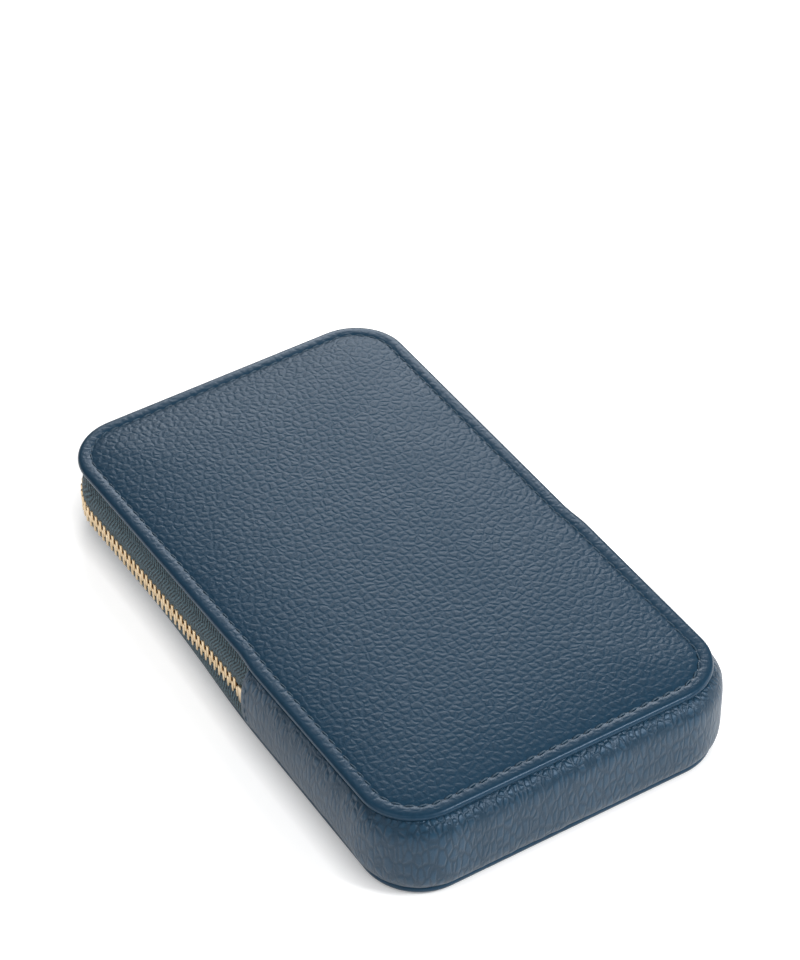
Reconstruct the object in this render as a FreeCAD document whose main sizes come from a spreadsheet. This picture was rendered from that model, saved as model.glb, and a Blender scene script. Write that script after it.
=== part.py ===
"""Zipped leather phone pouch, as a parametric FreeCAD document.

The pouch lies on its back. X runs across it, Y runs from the sewn base to the
zip end, and Z points up. The origin is the middle of the back face, on the
surface that the pouch lies on. The front cover slopes down to the zip end, so
each piece is drawn in the frame that it follows: the level back, the sloping
front, the zip's own plane, which is parallel to the front, or the planes between
back and front where the gusset's bulge is shaped.
"""
import FreeCAD
import Part
import Sketcher
import math
import os
from collections import namedtuple

# Driving dimensions in millimetres: name, value, meaning
DIMENSIONS = [
    ("panel_length", 180.0, "front and back panels, base to zip end"),
    ("panel_width", 104.4, "front and back panels, side to side"),
    ("corner_radius", 16.0, "panel corners, seen from the front"),
    ("base_depth", 28.3, "height of the front panel's margin at the base"),
    ("zip_depth", 21.9, "height of the front panel's margin at the zip end"),
    ("front_crown", 1.2, "rise of the padded front over its margin"),
    ("back_crown", 0.5, "rise of the padded back over its margin"),
    ("rim_thickness", 2.4, "turned leather edge of a panel"),
    ("rim_width", 5.0, "turned leather edge, inwards"),
    ("edge_bevel", 0.7, "softened corners of the turned edge"),
    ("web_thickness", 1.0, "single leather over the padding"),
    ("stitch_inset", 3.0, "panel edge to stitch line"),
    ("crown_run", 5.0, "stitch line to the flat of the crown"),
    ("board_thickness", 1.0, "stiffening board in each panel"),
    ("lining_thickness", 0.4, "fabric lining"),
    ("layer_clearance", 0.1, "between a panel's layers, sideways"),
    ("zip_side_length", 107.0, "zip along each long side, from the zip end"),
    ("gusset_bulge", 3.0, "gusset beyond the panel edge at mid height"),
    ("gusset_overhang", 0.6, "gusset beyond the panel edge at the seams"),
    ("gusset_thickness", 1.2, "gusset leather"),
    ("flange_width", 4.5, "seam allowance under the panel rims"),
    ("flange_thickness", 1.0, "skived gusset leather in the seam"),
    ("stiffener_thickness", 1.2, "reinforcement inside the gusset"),
    ("wall_clearance", 0.1, "between the gusset's layers"),
    ("tape_thickness", 0.6, "woven zip tape"),
    ("tape_tuck", 9.0, "zip tape under each gusset end"),
    ("tape_seam_inset", 1.2, "zip tape inside the panel edge at the seams"),
    ("tape_strip", 4.6, "flat of the front tape from the zip's middle"),
    ("tape_rise", 1.2, "slope of the back tape above its seam"),
    ("tape_edge", 1.8, "tape edge from the zip's middle"),
    ("tape_notch", 4.2, "tuck kept clear of the panel's underside"),
    ("tuck_clearance", 1.0, "gusset to tape at mid height"),
    ("zip_drop", 13.6, "front panel's margin down to the zip's middle"),
    ("zip_corner_radius", 19.0, "middle line of the zip at its corners"),
    ("tooth_pitch", 2.4, "teeth of one row"),
    ("tooth_length", 1.05, "one tooth along the zip"),
    ("tooth_reach", 1.0, "tooth head past the zip's middle"),
    ("chain_width", 5.8, "both rows of teeth, across"),
    ("chain_thickness", 2.5, "teeth, outside to inside"),
    ("crimp_clearance", 0.12, "tape in the slots of teeth and stops"),
    ("stop_metal", 0.5, "top stops beyond the tape edge"),
    ("bottom_stop_length", 3.6, "bottom stop along the zip"),
    ("top_stop_length", 2.2, "top stops along the zip"),
    ("stop_gap", 0.4, "gusset end to a stop, and stop to its neighbour"),
    ("slider_length", 12.0, "slider along the zip"),
    ("slider_nose_width", 6.6, "slider at the rounded mouth end"),
    ("slider_shoulder_width", 10.0, "slider at its widest"),
    ("slider_tail_width", 8.4, "slider at the end that closes the teeth"),
    ("slider_shoulder_place", 3.0, "widest part from the mouth end"),
    ("slider_plate", 0.9, "slider plates"),
    ("slider_flange", 0.9, "slider side rims, across"),
    ("slider_slot", 1.6, "gap in the side rims for the tape"),
    ("slider_clearance", 0.2, "teeth to slider plates"),
    ("slider_rounding", 0.6, "corners of the slider plates"),
    ("post_length", 4.2, "wedge that parts the teeth, along the zip"),
    ("post_width", 2.4, "wedge that parts the teeth, across"),
    ("post_tip", 0.6, "wedge at its two ends, across"),
    ("bridge_place", 6.2, "middle of the bridge from the mouth end"),
    ("bridge_span", 6.4, "bridge along the zip, outside"),
    ("bridge_height", 3.0, "bridge over the slider plate"),
    ("bridge_metal", 0.9, "bridge thickness"),
    ("bridge_width", 1.8, "bridge across the zip"),
    ("pull_length", 27.0, "pull from its bar to its free end"),
    ("pull_neck_width", 5.2, "pull at the bar"),
    ("pull_width", 7.4, "pull at its free end"),
    ("pull_thickness", 1.1, "pull metal"),
    ("pull_rounding", 2.4, "corners of the pull's free end"),
    ("pull_bar", 1.0, "bar through the bridge, diameter"),
    ("pull_window", 5.0, "window for the bridge, from the bar"),
    ("pull_side_clearance", 0.3, "window to bridge, each side"),
    ("fold_rise", 5.0, "fold of the front cover above the gusset ends"),
    ("fold_gap", 0.3, "between the two parts of the front cover"),
]

# How far the trimming cuts reach past the pouch
BEYOND = 40.0

# Shared expressions, worked out from the driving dimensions
TILT = "atan((sizes.base_depth - sizes.zip_depth) / sizes.panel_length)"
MARGIN_HEIGHT = "((sizes.base_depth + sizes.zip_depth) / 2)"
HALF_LENGTH = "(sizes.panel_length / 2)"
HALF_WIDTH = "(sizes.panel_width / 2)"
GUSSET_END = f"({HALF_LENGTH} - sizes.zip_side_length)"
FOLD = f"({GUSSET_END} + sizes.fold_rise)"
TAPE_FACE = "(sizes.gusset_bulge - sizes.gusset_thickness - sizes.tuck_clearance)"
CHAIN_OFFSET = f"({TAPE_FACE} - sizes.tape_thickness / 2)"
CHAIN_SIDE = f"({HALF_WIDTH} + {CHAIN_OFFSET})"
TOP_STOP_START = f"({GUSSET_END} + sizes.stop_gap)"
SLIDER_START = f"({TOP_STOP_START} + sizes.top_stop_length + sizes.stop_gap)"
PLATE_FACE = "(sizes.chain_thickness / 2 + sizes.slider_clearance)"
SLIDER_FACE = f"({CHAIN_SIDE} + {PLATE_FACE} + sizes.slider_plate)"
BRIDGE_PLACE = f"({SLIDER_START} + sizes.bridge_place)"
BAR_HEIGHT = f"({SLIDER_FACE} + (sizes.bridge_height - sizes.bridge_metal) / 2)"
SEAM = "(sizes.rim_thickness + sizes.flange_thickness)"

# A plane across the pouch: its height at Y = 0 and its slope down to the zip end
Frame = namedtuple("Frame", "height tilt")
BACK = Frame("sizes.back_crown", "0 deg")
MIDDLE = Frame(f"(({MARGIN_HEIGHT} + sizes.back_crown) / 2)", f"({TILT} / 2)")
FRONT = Frame(MARGIN_HEIGHT, f"({TILT})")
ZIP = Frame(f"({MARGIN_HEIGHT} - sizes.zip_drop)", f"({TILT})")
LOWER = Frame(f"((sizes.back_crown + {MIDDLE.height}) / 2)", f"({TILT} / 4)")
UPPER = Frame(f"(({MIDDLE.height} + {MARGIN_HEIGHT}) / 2)", f"({TILT} * 3 / 4)")

# One station of a wall: its frame, its distance along the frame's normal, how
# far it lies outside the panel edge, and the corner radius that goes with that
Station = namedtuple("Station", "frame distance outset radius")

doc = FreeCAD.newDocument("phone_pouch")
sheet = doc.addObject("Spreadsheet::Sheet", "sizes")
X_AXIS = FreeCAD.Vector(1, 0, 0)


def fill_sheet():
    """Write the driving dimensions into the spreadsheet, one aliased row each."""
    for row, (alias, value, meaning) in enumerate(DIMENSIONS, start=1):
        sheet.set(f"A{row}", alias)
        sheet.set(f"B{row}", str(value))
        sheet.setAlias(f"B{row}", alias)
        sheet.set(f"C{row}", meaning)
    doc.recompute()


def size(expression):
    """Return the number that an expression on the sheet stands for."""
    value = sheet.evalExpression(expression)
    return float(getattr(value, "Value", value))


def tilt_about_x(owner, path, angle):
    """Bind the turn about X of one of an object's placements."""
    placement = FreeCAD.Placement()
    placement.Rotation = FreeCAD.Rotation(X_AXIS, 1)
    setattr(owner, path, placement)
    owner.setExpression(f"{path}.Rotation.Angle", angle)


def new_body(label):
    """Start a body that will be one sub-part."""
    body = doc.addObject("PartDesign::Body", label)
    body.Label = label
    return body


def set_frame(owner, frame):
    """Place an object in the front or middle frame."""
    tilt_about_x(owner, "Placement", f"-{frame.tilt}")
    owner.setExpression("Placement.Base.z", frame.height)


def sketch_on(body, name, role="XY_Plane", distance="0", frame=None):
    """Add a sketch on one of the body's own origin planes.

    A frame lays the sketch in that frame's slope, at a distance along its normal.
    """
    plane = next(item for item in body.Origin.OriginFeatures if item.Role == role)
    sketch = body.newObject("Sketcher::SketchObject", f"{body.Name}_{name}")
    sketch.AttachmentSupport = [(plane, "")]
    sketch.MapMode = "FlatFace"
    if frame is None:
        sketch.setExpression("AttachmentOffset.Base.z", distance)
        return sketch
    tilt_about_x(sketch, "AttachmentOffset", f"-{frame.tilt}")
    sketch.setExpression("AttachmentOffset.Base.y", f"({distance}) * sin({frame.tilt})")
    sketch.setExpression("AttachmentOffset.Base.z", f"{frame.height} + ({distance}) * cos({frame.tilt})")
    return sketch


def dimension(sketch, name, kind, references, expression):
    """Add a named dimension to a sketch and bind it to an expression."""
    index = sketch.addConstraint(Sketcher.Constraint(kind, *references, size(expression)))
    sketch.renameConstraint(index, name)
    sketch.setExpression(f"Constraints.{name}", expression)


def rounded_rectangle(sketch, width, length, radius):
    """Draw a rectangle with round corners about the sketch's origin."""
    half_w, half_l, r = size(width) / 2, size(length) / 2, size(radius)
    vector = FreeCAD.Vector
    corners = [(1, 1, 0), (-1, 1, 90), (-1, -1, 180), (1, -1, 270)]
    arcs = []
    for side_x, side_y, start in corners:
        centre = vector(side_x * (half_w - r), side_y * (half_l - r), 0)
        circle = Part.Circle(centre, vector(0, 0, 1), r)
        first = math.radians(start)
        arcs.append(sketch.addGeometry(Part.ArcOfCircle(circle, first, first + math.pi / 2)))
    for index in range(4):
        start = sketch.getPoint(arcs[index], 2)
        end = sketch.getPoint(arcs[(index + 1) % 4], 1)
        line = sketch.addGeometry(Part.LineSegment(start, end))
        sketch.addConstraint(Sketcher.Constraint("Tangent", arcs[index], 2, line, 1))
        sketch.addConstraint(Sketcher.Constraint("Tangent", line, 2, arcs[(index + 1) % 4], 1))
        sketch.addConstraint(Sketcher.Constraint("Vertical" if index % 2 else "Horizontal", line))
    for index in range(1, 4):
        sketch.addConstraint(Sketcher.Constraint("Equal", arcs[0], arcs[index]))
    sketch.addConstraint(Sketcher.Constraint("Symmetric", arcs[0], 3, arcs[2], 3, -1, 1))
    dimension(sketch, "radius", "Radius", [arcs[0]], radius)
    dimension(sketch, "half_width", "DistanceX", [-1, 1, arcs[0], 1], f"({width}) / 2")
    dimension(sketch, "half_length", "DistanceY", [-1, 1, arcs[0], 2], f"({length}) / 2")


def polygon(sketch, points):
    """Draw a closed outline of straight edges, each corner bound by its X and Y."""
    corners = [FreeCAD.Vector(size(x), size(y), 0) for x, y in points]
    count = len(corners)
    lines = []
    for index in range(count):
        segment = Part.LineSegment(corners[index], corners[(index + 1) % count])
        lines.append(sketch.addGeometry(segment))
    for index in range(count):
        following = lines[(index + 1) % count]
        sketch.addConstraint(Sketcher.Constraint("Coincident", lines[index], 2, following, 1))
    for index, (x, y) in enumerate(points):
        dimension(sketch, f"x{index}", "DistanceX", [-1, 1, lines[index], 1], x)
        dimension(sketch, f"y{index}", "DistanceY", [-1, 1, lines[index], 1], y)


def circle(sketch, x, y, diameter):
    """Draw one circle, bound by its centre and diameter."""
    centre = FreeCAD.Vector(size(x), size(y), 0)
    curve = sketch.addGeometry(Part.Circle(centre, FreeCAD.Vector(0, 0, 1), size(diameter) / 2))
    dimension(sketch, "x", "DistanceX", [-1, 1, curve, 3], x)
    dimension(sketch, "y", "DistanceY", [-1, 1, curve, 3], y)
    dimension(sketch, "diameter", "Diameter", [curve], diameter)


def panel_outline(body, name, inset, distance):
    """Sketch the panel's outline, drawn in by an inset, at a level of the body."""
    sketch = sketch_on(body, name, distance=distance)
    rounded_rectangle(
        sketch,
        f"sizes.panel_width - 2 * ({inset})",
        f"sizes.panel_length - 2 * ({inset})",
        f"sizes.corner_radius - ({inset})",
    )
    return sketch


def pad(body, sketch, length, reverse=False, both_ways=False):
    """Pad a sketch, from one side of it or from its middle."""
    feature = body.newObject("PartDesign::Pad", f"{sketch.Name}_pad")
    feature.Profile = sketch
    feature.Reversed = reverse
    if both_ways:
        feature.SideType = "Symmetric"
    feature.setExpression("Length", length)
    return feature


def pocket(body, sketch, length=None, reverse=False):
    """Cut a sketch to a depth, or right through both ways when no depth is given."""
    feature = body.newObject("PartDesign::Pocket", f"{sketch.Name}_pocket")
    feature.Profile = sketch
    feature.Reversed = reverse
    if length is None:
        feature.SideType = "Symmetric"
        feature.Type = "ThroughAll"
    else:
        feature.setExpression("Length", length)
    return feature


def loft(body, kind, sketches):
    """Add or cut a loft that runs straight from each closed sketch to the next."""
    feature = body.newObject(f"PartDesign::{kind}Loft", f"{sketches[0].Name}_loft")
    feature.Profile = sketches[0]
    feature.Sections = sketches[1:]
    feature.Ruled = True
    return feature


def edges_of(feature, chosen):
    """Name the edges of a feature that a test picks out."""
    doc.recompute()
    return [f"Edge{i}" for i, edge in enumerate(feature.Shape.Edges, start=1) if chosen(edge)]


def round_edges(body, feature, radius, chosen):
    """Round the edges of a feature that a test picks out."""
    names = edges_of(feature, chosen)
    fillet = body.newObject("PartDesign::Fillet", f"{feature.Name}_round")
    fillet.Base = (feature, names)
    fillet.setExpression("Radius", radius)
    return fillet


def bevel_edges(body, feature, width, chosen):
    """Bevel the edges of a feature that a test picks out."""
    names = edges_of(feature, chosen)
    chamfer = body.newObject("PartDesign::Chamfer", f"{feature.Name}_bevel")
    chamfer.Base = (feature, names)
    chamfer.setExpression("Size", width)
    return chamfer


def trim_rectangle(body, name, low, high, distance="0", frame=None):
    """Sketch a rectangle from one Y to another, wider than the pouch."""
    sketch = sketch_on(body, name, distance=distance, frame=frame)
    reach = f"({HALF_WIDTH} + {BEYOND})"
    polygon(sketch, [(f"-{reach}", low), (reach, low), (reach, high), (f"-{reach}", high)])
    return sketch


FAR_UP = f"({HALF_LENGTH} + {BEYOND})"
FAR_DOWN = f"-({HALF_LENGTH} + {BEYOND})"
CUT_BACK = {
    "whole": None,
    "lower": (f"{FOLD} - sizes.fold_gap / 2", FAR_UP),
    "upper": (FAR_DOWN, f"{FOLD} + sizes.fold_gap / 2"),
}


def finish_layer(body, side, stretch):
    """Trim a panel layer to its stretch of the cover and put it in its place.

    The layers are drawn facing up, with their margin at Z = 0. The back is the
    same construction turned over.
    """
    if CUT_BACK[stretch]:
        low, high = CUT_BACK[stretch]
        pocket(body, trim_rectangle(body, "trim", low, high))
    if side == "front":
        set_frame(body, FRONT)
    else:
        tilt_about_x(body, "Placement", "180 deg")
        body.setExpression("Placement.Base.z", "sizes.back_crown")


def panel_leather(label, side, stretch):
    """Leather skin: a turned rim, a crown over the padding and the tray behind it."""
    crown = f"sizes.{side}_crown"
    body = new_body(label)
    rim = pad(body, panel_outline(body, "rim", "0", "0"), "sizes.rim_thickness", reverse=True)
    bevel_edges(body, rim, "sizes.edge_bevel", lambda edge: edge.BoundBox.ZLength < 1e-6)
    crown_foot = panel_outline(body, "crown_foot", "sizes.stitch_inset", "0")
    crown_top = panel_outline(body, "crown_top", "sizes.stitch_inset + sizes.crown_run", crown)
    loft(body, "Additive", [crown_foot, crown_top])
    tray = panel_outline(body, "tray", "sizes.rim_width", "-sizes.rim_thickness")
    pocket(body, tray, "sizes.board_thickness", reverse=True)
    hollow_foot = panel_outline(
        body, "hollow_foot", "sizes.rim_width", "sizes.board_thickness - sizes.rim_thickness")
    hollow_top = panel_outline(
        body, "hollow_top", "sizes.rim_width + sizes.crown_run", f"{crown} - sizes.web_thickness")
    loft(body, "Subtractive", [hollow_foot, hollow_top])
    finish_layer(body, side, stretch)
    return body


def panel_padding(label, side, stretch):
    """Thin foam that fills the leather's crown."""
    body = new_body(label)
    inset = "sizes.rim_width + sizes.layer_clearance"
    foot = panel_outline(body, "foot", inset, "sizes.board_thickness - sizes.rim_thickness")
    top = panel_outline(
        body, "top", f"{inset} + sizes.crown_run", f"sizes.{side}_crown - sizes.web_thickness")
    loft(body, "Additive", [foot, top])
    finish_layer(body, side, stretch)
    return body


def panel_board(label, side, stretch):
    """Stiffening board in the leather's tray."""
    body = new_body(label)
    inset = "sizes.rim_width + sizes.layer_clearance"
    outline = panel_outline(body, "outline", inset, "-sizes.rim_thickness")
    pad(body, outline, "sizes.board_thickness")
    finish_layer(body, side, stretch)
    return body


def panel_lining(label, side, stretch):
    """Lining sheet behind the board, inside the seam allowance."""
    body = new_body(label)
    inset = "sizes.flange_width + sizes.layer_clearance"
    outline = panel_outline(body, "outline", inset, "-sizes.rim_thickness")
    pad(body, outline, "sizes.lining_thickness", reverse=True)
    finish_layer(body, side, stretch)
    return body


def wall_loft(body, name, kind, stations):
    """Loft a closed wall, straight from one station's outline to the next."""
    sketches = []
    for index, station in enumerate(stations):
        sketch = sketch_on(body, f"{name}{index}", distance=station.distance, frame=station.frame)
        rounded_rectangle(
            sketch,
            f"sizes.panel_width + 2 * ({station.outset})",
            f"sizes.panel_length + 2 * ({station.outset})",
            f"{station.radius} + ({station.outset})",
        )
        sketches.append(sketch)
    return loft(body, kind, sketches)


def gusset_stations(seam_distance, seam_outset, middle_outset):
    """Stations of a bulging gusset wall, from the back seam to the front seam."""
    radius = "sizes.corner_radius"
    quarter_outset = f"(({seam_outset}) + 3 * ({middle_outset})) / 4"
    return [
        Station(BACK, seam_distance, seam_outset, radius),
        Station(LOWER, "0", quarter_outset, radius),
        Station(MIDDLE, "0", middle_outset, radius),
        Station(UPPER, "0", quarter_outset, radius),
        Station(FRONT, f"-({seam_distance})", seam_outset, radius),
    ]


def open_core(body, reach):
    """Cut the middle out of a wall, leaving the seam allowances standing in."""
    outset = "-sizes.flange_width"
    stations = [
        Station(BACK, reach, outset, "sizes.corner_radius"),
        Station(FRONT, f"-({reach})", outset, "sizes.corner_radius"),
    ]
    return wall_loft(body, "core", "Subtractive", stations)


def gusset_leather():
    """Leather wall round the base and up both sides, turned in at its two seams."""
    body = new_body("gusset_leather")
    wall_loft(body, "outside", "Additive", gusset_stations(
        "sizes.rim_thickness", "sizes.gusset_overhang", "sizes.gusset_bulge"))
    wall_loft(body, "inside", "Subtractive", gusset_stations(
        SEAM, "sizes.gusset_overhang - sizes.gusset_thickness",
        "sizes.gusset_bulge - sizes.gusset_thickness"))
    open_core(body, "0")
    pocket(body, trim_rectangle(body, "trim", GUSSET_END, FAR_UP))
    return body


def gusset_layer(label, inset, thickness, end):
    """Upright wall inside the gusset leather, between the two seam allowances."""
    body = new_body(label)
    seam = f"{SEAM} + sizes.wall_clearance"
    foot = f"{BACK.height} + {seam}"
    pad(body, panel_outline(body, "outside", inset, foot), "sizes.base_depth")
    pocket(body, panel_outline(body, "inside", f"{inset} + {thickness}", foot))
    top = trim_rectangle(body, "top", FAR_DOWN, FAR_UP, distance=f"-({seam})", frame=FRONT)
    pocket(body, top, "sizes.base_depth", reverse=True)
    pocket(body, trim_rectangle(body, "trim", end, FAR_UP))
    return body


STIFFENER_INSET = "(sizes.gusset_thickness + sizes.wall_clearance - sizes.gusset_overhang)"


def gusset_stiffener():
    """Reinforcement behind the gusset leather, ending below the tucked zip tape."""
    end = f"{GUSSET_END} - sizes.tape_tuck - sizes.stop_gap"
    return gusset_layer("gusset_stiffener", STIFFENER_INSET, "sizes.stiffener_thickness", end)


def gusset_lining():
    """Fabric inside the gusset, covering the stiffener and the tucked ends of the zip tape."""
    behind_stiffener = f"{STIFFENER_INSET} + sizes.stiffener_thickness"
    behind_tape = "sizes.tape_seam_inset + sizes.tape_thickness"
    inset = f"(max({behind_stiffener}; {behind_tape}) + sizes.wall_clearance)"
    return gusset_layer("gusset_lining", inset, "sizes.lining_thickness", GUSSET_END)


def tape_stations(side, seam, seam_outset, strip_outset, edge):
    """Stations of half a zip tape, from its seam to its edge at the teeth."""
    radius = f"sizes.zip_corner_radius - {CHAIN_OFFSET}"
    if side == "front":
        return [
            Station(FRONT, f"-({seam})", seam_outset, "sizes.corner_radius"),
            Station(ZIP, "sizes.tape_strip", strip_outset, radius),
            Station(ZIP, edge, strip_outset, radius),
        ]
    return [
        Station(BACK, seam, seam_outset, "sizes.corner_radius"),
        Station(BACK, "sizes.rim_thickness + sizes.tape_rise", strip_outset, radius),
        Station(ZIP, f"-({edge})", strip_outset, radius),
    ]


def zip_tape(side):
    """Half of the zip's tape: sewn under the panel rim, flat at the teeth.

    Its ends run on under the gusset ends, cut clear of the gusset's own seam.
    """
    body = new_body(f"zip_tape_{side}")
    thickness = "sizes.tape_thickness"
    wall_loft(body, "outside", "Additive", tape_stations(
        side, "sizes.rim_thickness", "-sizes.tape_seam_inset", TAPE_FACE, "sizes.tape_edge"))
    wall_loft(body, "inside", "Subtractive", tape_stations(
        side, f"sizes.rim_thickness + {thickness}", f"-sizes.tape_seam_inset - {thickness}",
        f"{TAPE_FACE} - {thickness}", "sizes.tape_edge / 2"))
    open_core(body, "0")
    pocket(body, trim_rectangle(body, "trim", FAR_DOWN, f"{GUSSET_END} - sizes.tape_tuck"))
    clear = "(sizes.rim_thickness + sizes.tape_notch)"
    frame, distance = (FRONT, f"-{clear}") if side == "front" else (BACK, clear)
    notch_end = f"{GUSSET_END} + sizes.stop_gap"
    notch = trim_rectangle(body, "notch", FAR_DOWN, notch_end, distance, frame)
    pocket(body, notch, clear, reverse=side == "front")
    return body


def tooth_outline(side):
    """One tooth across the zip: outwards from the tape's middle, then towards its side."""
    half = size("sizes.chain_thickness / 2")
    slot = size("sizes.tape_thickness / 2 + sizes.crimp_clearance")
    reach = size("sizes.tooth_reach")
    legs = size("sizes.chain_width / 2")
    slot_floor = size("sizes.tape_edge - sizes.crimp_clearance")
    right = [(half, -reach), (half, legs), (slot, legs), (slot, slot_floor)]
    left = [(-out, across) for out, across in reversed(right)]
    turn = 1 if side == "front" else -1
    behind = -size("sizes.tooth_length / 2")
    points = [FreeCAD.Vector(out, behind, turn * across) for out, across in right + left]
    return Part.makePolygon(points + points[:1])


def chain_place(distance, start, half_x, half_y, radius):
    """Place on the zip's middle line: up the left side, along the end, down the right.

    Returns the point and the direction that faces out of the pouch, in degrees from +X.
    """
    side = half_y - radius - start
    corner = radius * math.pi / 2
    end = 2 * (half_x - radius)
    if distance < side:
        return FreeCAD.Vector(-half_x, start + distance, 0), 180.0
    distance -= side
    if distance < corner:
        angle = math.pi - distance / radius
        centre = FreeCAD.Vector(radius - half_x, half_y - radius, 0)
        return centre + radius * FreeCAD.Vector(math.cos(angle), math.sin(angle), 0), math.degrees(angle)
    distance -= corner
    if distance < end:
        return FreeCAD.Vector(radius - half_x + distance, half_y, 0), 90.0
    distance -= end
    if distance < corner:
        angle = math.pi / 2 - distance / radius
        centre = FreeCAD.Vector(half_x - radius, half_y - radius, 0)
        return centre + radius * FreeCAD.Vector(math.cos(angle), math.sin(angle), 0), math.degrees(angle)
    distance -= corner
    return FreeCAD.Vector(half_x, half_y - radius - distance, 0), 0.0


def zip_teeth(side):
    """One row of teeth, spaced evenly along the tape, half a pitch from the other row."""
    half_x = size(CHAIN_SIDE)
    half_y = size(f"{HALF_LENGTH} + {CHAIN_OFFSET}")
    radius = size("sizes.zip_corner_radius")
    pitch = size("sizes.tooth_pitch")
    length = size("sizes.tooth_length")
    start = size(f"{GUSSET_END} + sizes.bottom_stop_length + 2 * sizes.stop_gap") + length / 2
    end = size(f"{SLIDER_START} + sizes.post_length + sizes.stop_gap") + length / 2
    straights = 2 * (half_y - radius) - start - end + 2 * (half_x - radius)
    run = straights + math.pi * radius
    first = 0.0 if side == "front" else pitch / 2
    profile = Part.Face(tooth_outline(side))
    tooth = profile.extrude(FreeCAD.Vector(0, length, 0))
    teeth = []
    for index in range(int((run - first) / pitch) + 1):
        point, facing = chain_place(first + index * pitch, start, half_x, half_y, radius)
        copy = tooth.copy()
        copy.Placement = FreeCAD.Placement(point, FreeCAD.Rotation(FreeCAD.Vector(0, 0, 1), facing))
        teeth.append(copy)
    row = doc.addObject("Part::Feature", f"zip_teeth_{side}")
    row.Label = f"zip_teeth_{side}"
    row.Shape = Part.makeCompound(teeth)
    set_frame(row, ZIP)
    return row


def clip_on_tape(label, centre, start, length, outline):
    """Metal clip on the tape: an outline across the zip, drawn out along it."""
    body = new_body(label)
    sketch = sketch_on(body, "outline", role="XZ_Plane", distance=f"-({start})")
    polygon(sketch, [(f"{centre} + ({out})", across) for out, across in outline])
    pad(body, sketch, length, reverse=True)
    set_frame(body, ZIP)
    return body


CLIP_FACE = "sizes.chain_thickness / 2"
CLIP_SLOT = "(sizes.tape_thickness / 2 + sizes.crimp_clearance)"
CLIP_END = "sizes.chain_width / 2"
CLIP_WEB = "(sizes.tape_edge - sizes.crimp_clearance)"


def zip_bottom_stop():
    """Bottom stop: two plates joined between the tape edges, so both tapes are held."""
    quarter = [(CLIP_FACE, CLIP_END), (CLIP_SLOT, CLIP_END), (CLIP_SLOT, CLIP_WEB)]
    outline = quarter + [(f"-{out}", across) for out, across in reversed(quarter)]
    outline += [(f"-{out}", f"-{across}") for out, across in quarter]
    outline += [(out, f"-{across}") for out, across in reversed(quarter)]
    start = f"{GUSSET_END} + sizes.stop_gap"
    return clip_on_tape("zip_bottom_stop", f"-{CHAIN_SIDE}", start, "sizes.bottom_stop_length", outline)


def zip_top_stop(side):
    """Top stop: a clip on the edge of one tape, where the slider ends its run."""
    half = [(CLIP_FACE, f"({CLIP_WEB} - sizes.stop_metal)"), (CLIP_FACE, CLIP_END),
            (CLIP_SLOT, CLIP_END), (CLIP_SLOT, CLIP_WEB)]
    turn = "" if side == "front" else "-"
    outline = [(out, turn + across) for out, across in half]
    outline += [(f"-{out}", turn + across) for out, across in reversed(half)]
    label = f"zip_top_stop_{side}"
    return clip_on_tape(label, CHAIN_SIDE, TOP_STOP_START, "sizes.top_stop_length", outline)


def upright(edge):
    """Tell whether an edge runs straight out of the zip."""
    box = edge.BoundBox
    return box.XLength > 1e-6 and box.YLength < 1e-6 and box.ZLength < 1e-6


def mirrored_outline(half):
    """Complete an outline along the zip from its points on one side."""
    return half + [(along, f"-{across}") for along, across in reversed(half)]


def slider_plate(body, name, distance, reverse):
    """Shield-shaped plate of the slider, with round corners."""
    start = SLIDER_START
    half = [
        (start, "sizes.slider_nose_width / 2"),
        (f"{start} + sizes.slider_shoulder_place", "sizes.slider_shoulder_width / 2"),
        (f"{start} + sizes.slider_length", "sizes.slider_tail_width / 2"),
    ]
    sketch = sketch_on(body, name, role="YZ_Plane", distance=distance)
    polygon(sketch, mirrored_outline(half))
    return pad(body, sketch, "sizes.slider_plate", reverse=reverse)


def slider_body():
    """Slider: two plates on the wedge that parts the teeth, with rims beside the tape."""
    body = new_body("slider_body")
    start = SLIDER_START
    wedge = sketch_on(body, "wedge", role="YZ_Plane", distance=CHAIN_SIDE)
    polygon(wedge, mirrored_outline([
        (start, "sizes.post_tip / 2"),
        (f"{start} + sizes.post_length / 3", "sizes.post_width / 2"),
        (f"{start} + sizes.post_length", "sizes.post_tip / 2"),
    ]))
    pad(body, wedge, f"2 * {PLATE_FACE}", both_ways=True)
    slider_plate(body, "outer_plate", f"{CHAIN_SIDE} + {PLATE_FACE}", False)
    slider_plate(body, "inner_plate", f"{CHAIN_SIDE} - {PLATE_FACE}", True)
    shoulder = f"{start} + sizes.slider_shoulder_place"
    tail = f"{start} + sizes.slider_length"
    rim = [
        (shoulder, "sizes.slider_shoulder_width / 2"),
        (tail, "sizes.slider_tail_width / 2"),
        (tail, "(sizes.slider_tail_width / 2 - sizes.slider_flange)"),
        (shoulder, "(sizes.slider_shoulder_width / 2 - sizes.slider_flange)"),
    ]
    for name, turn in (("front", ""), ("back", "-")):
        for plate, side, reverse in (("outer", "+", False), ("inner", "-", True)):
            distance = f"{CHAIN_SIDE} {side} sizes.slider_slot / 2"
            sketch = sketch_on(body, f"{plate}_{name}_rim", role="YZ_Plane", distance=distance)
            polygon(sketch, [(along, turn + across) for along, across in rim])
            last = pad(body, sketch, f"{PLATE_FACE} - sizes.slider_slot / 2", reverse=reverse)
    round_edges(body, last, "sizes.slider_rounding", corner_of_plate)
    set_frame(body, ZIP)
    return body


def corner_of_plate(edge):
    """Tell whether an edge is a nose corner of one of the slider's plates."""
    at_nose = abs(edge.BoundBox.YMin - size(SLIDER_START)) < 1e-6
    return upright(edge) and at_nose and edge.BoundBox.ZMax ** 2 > size("sizes.post_tip") ** 2


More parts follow.
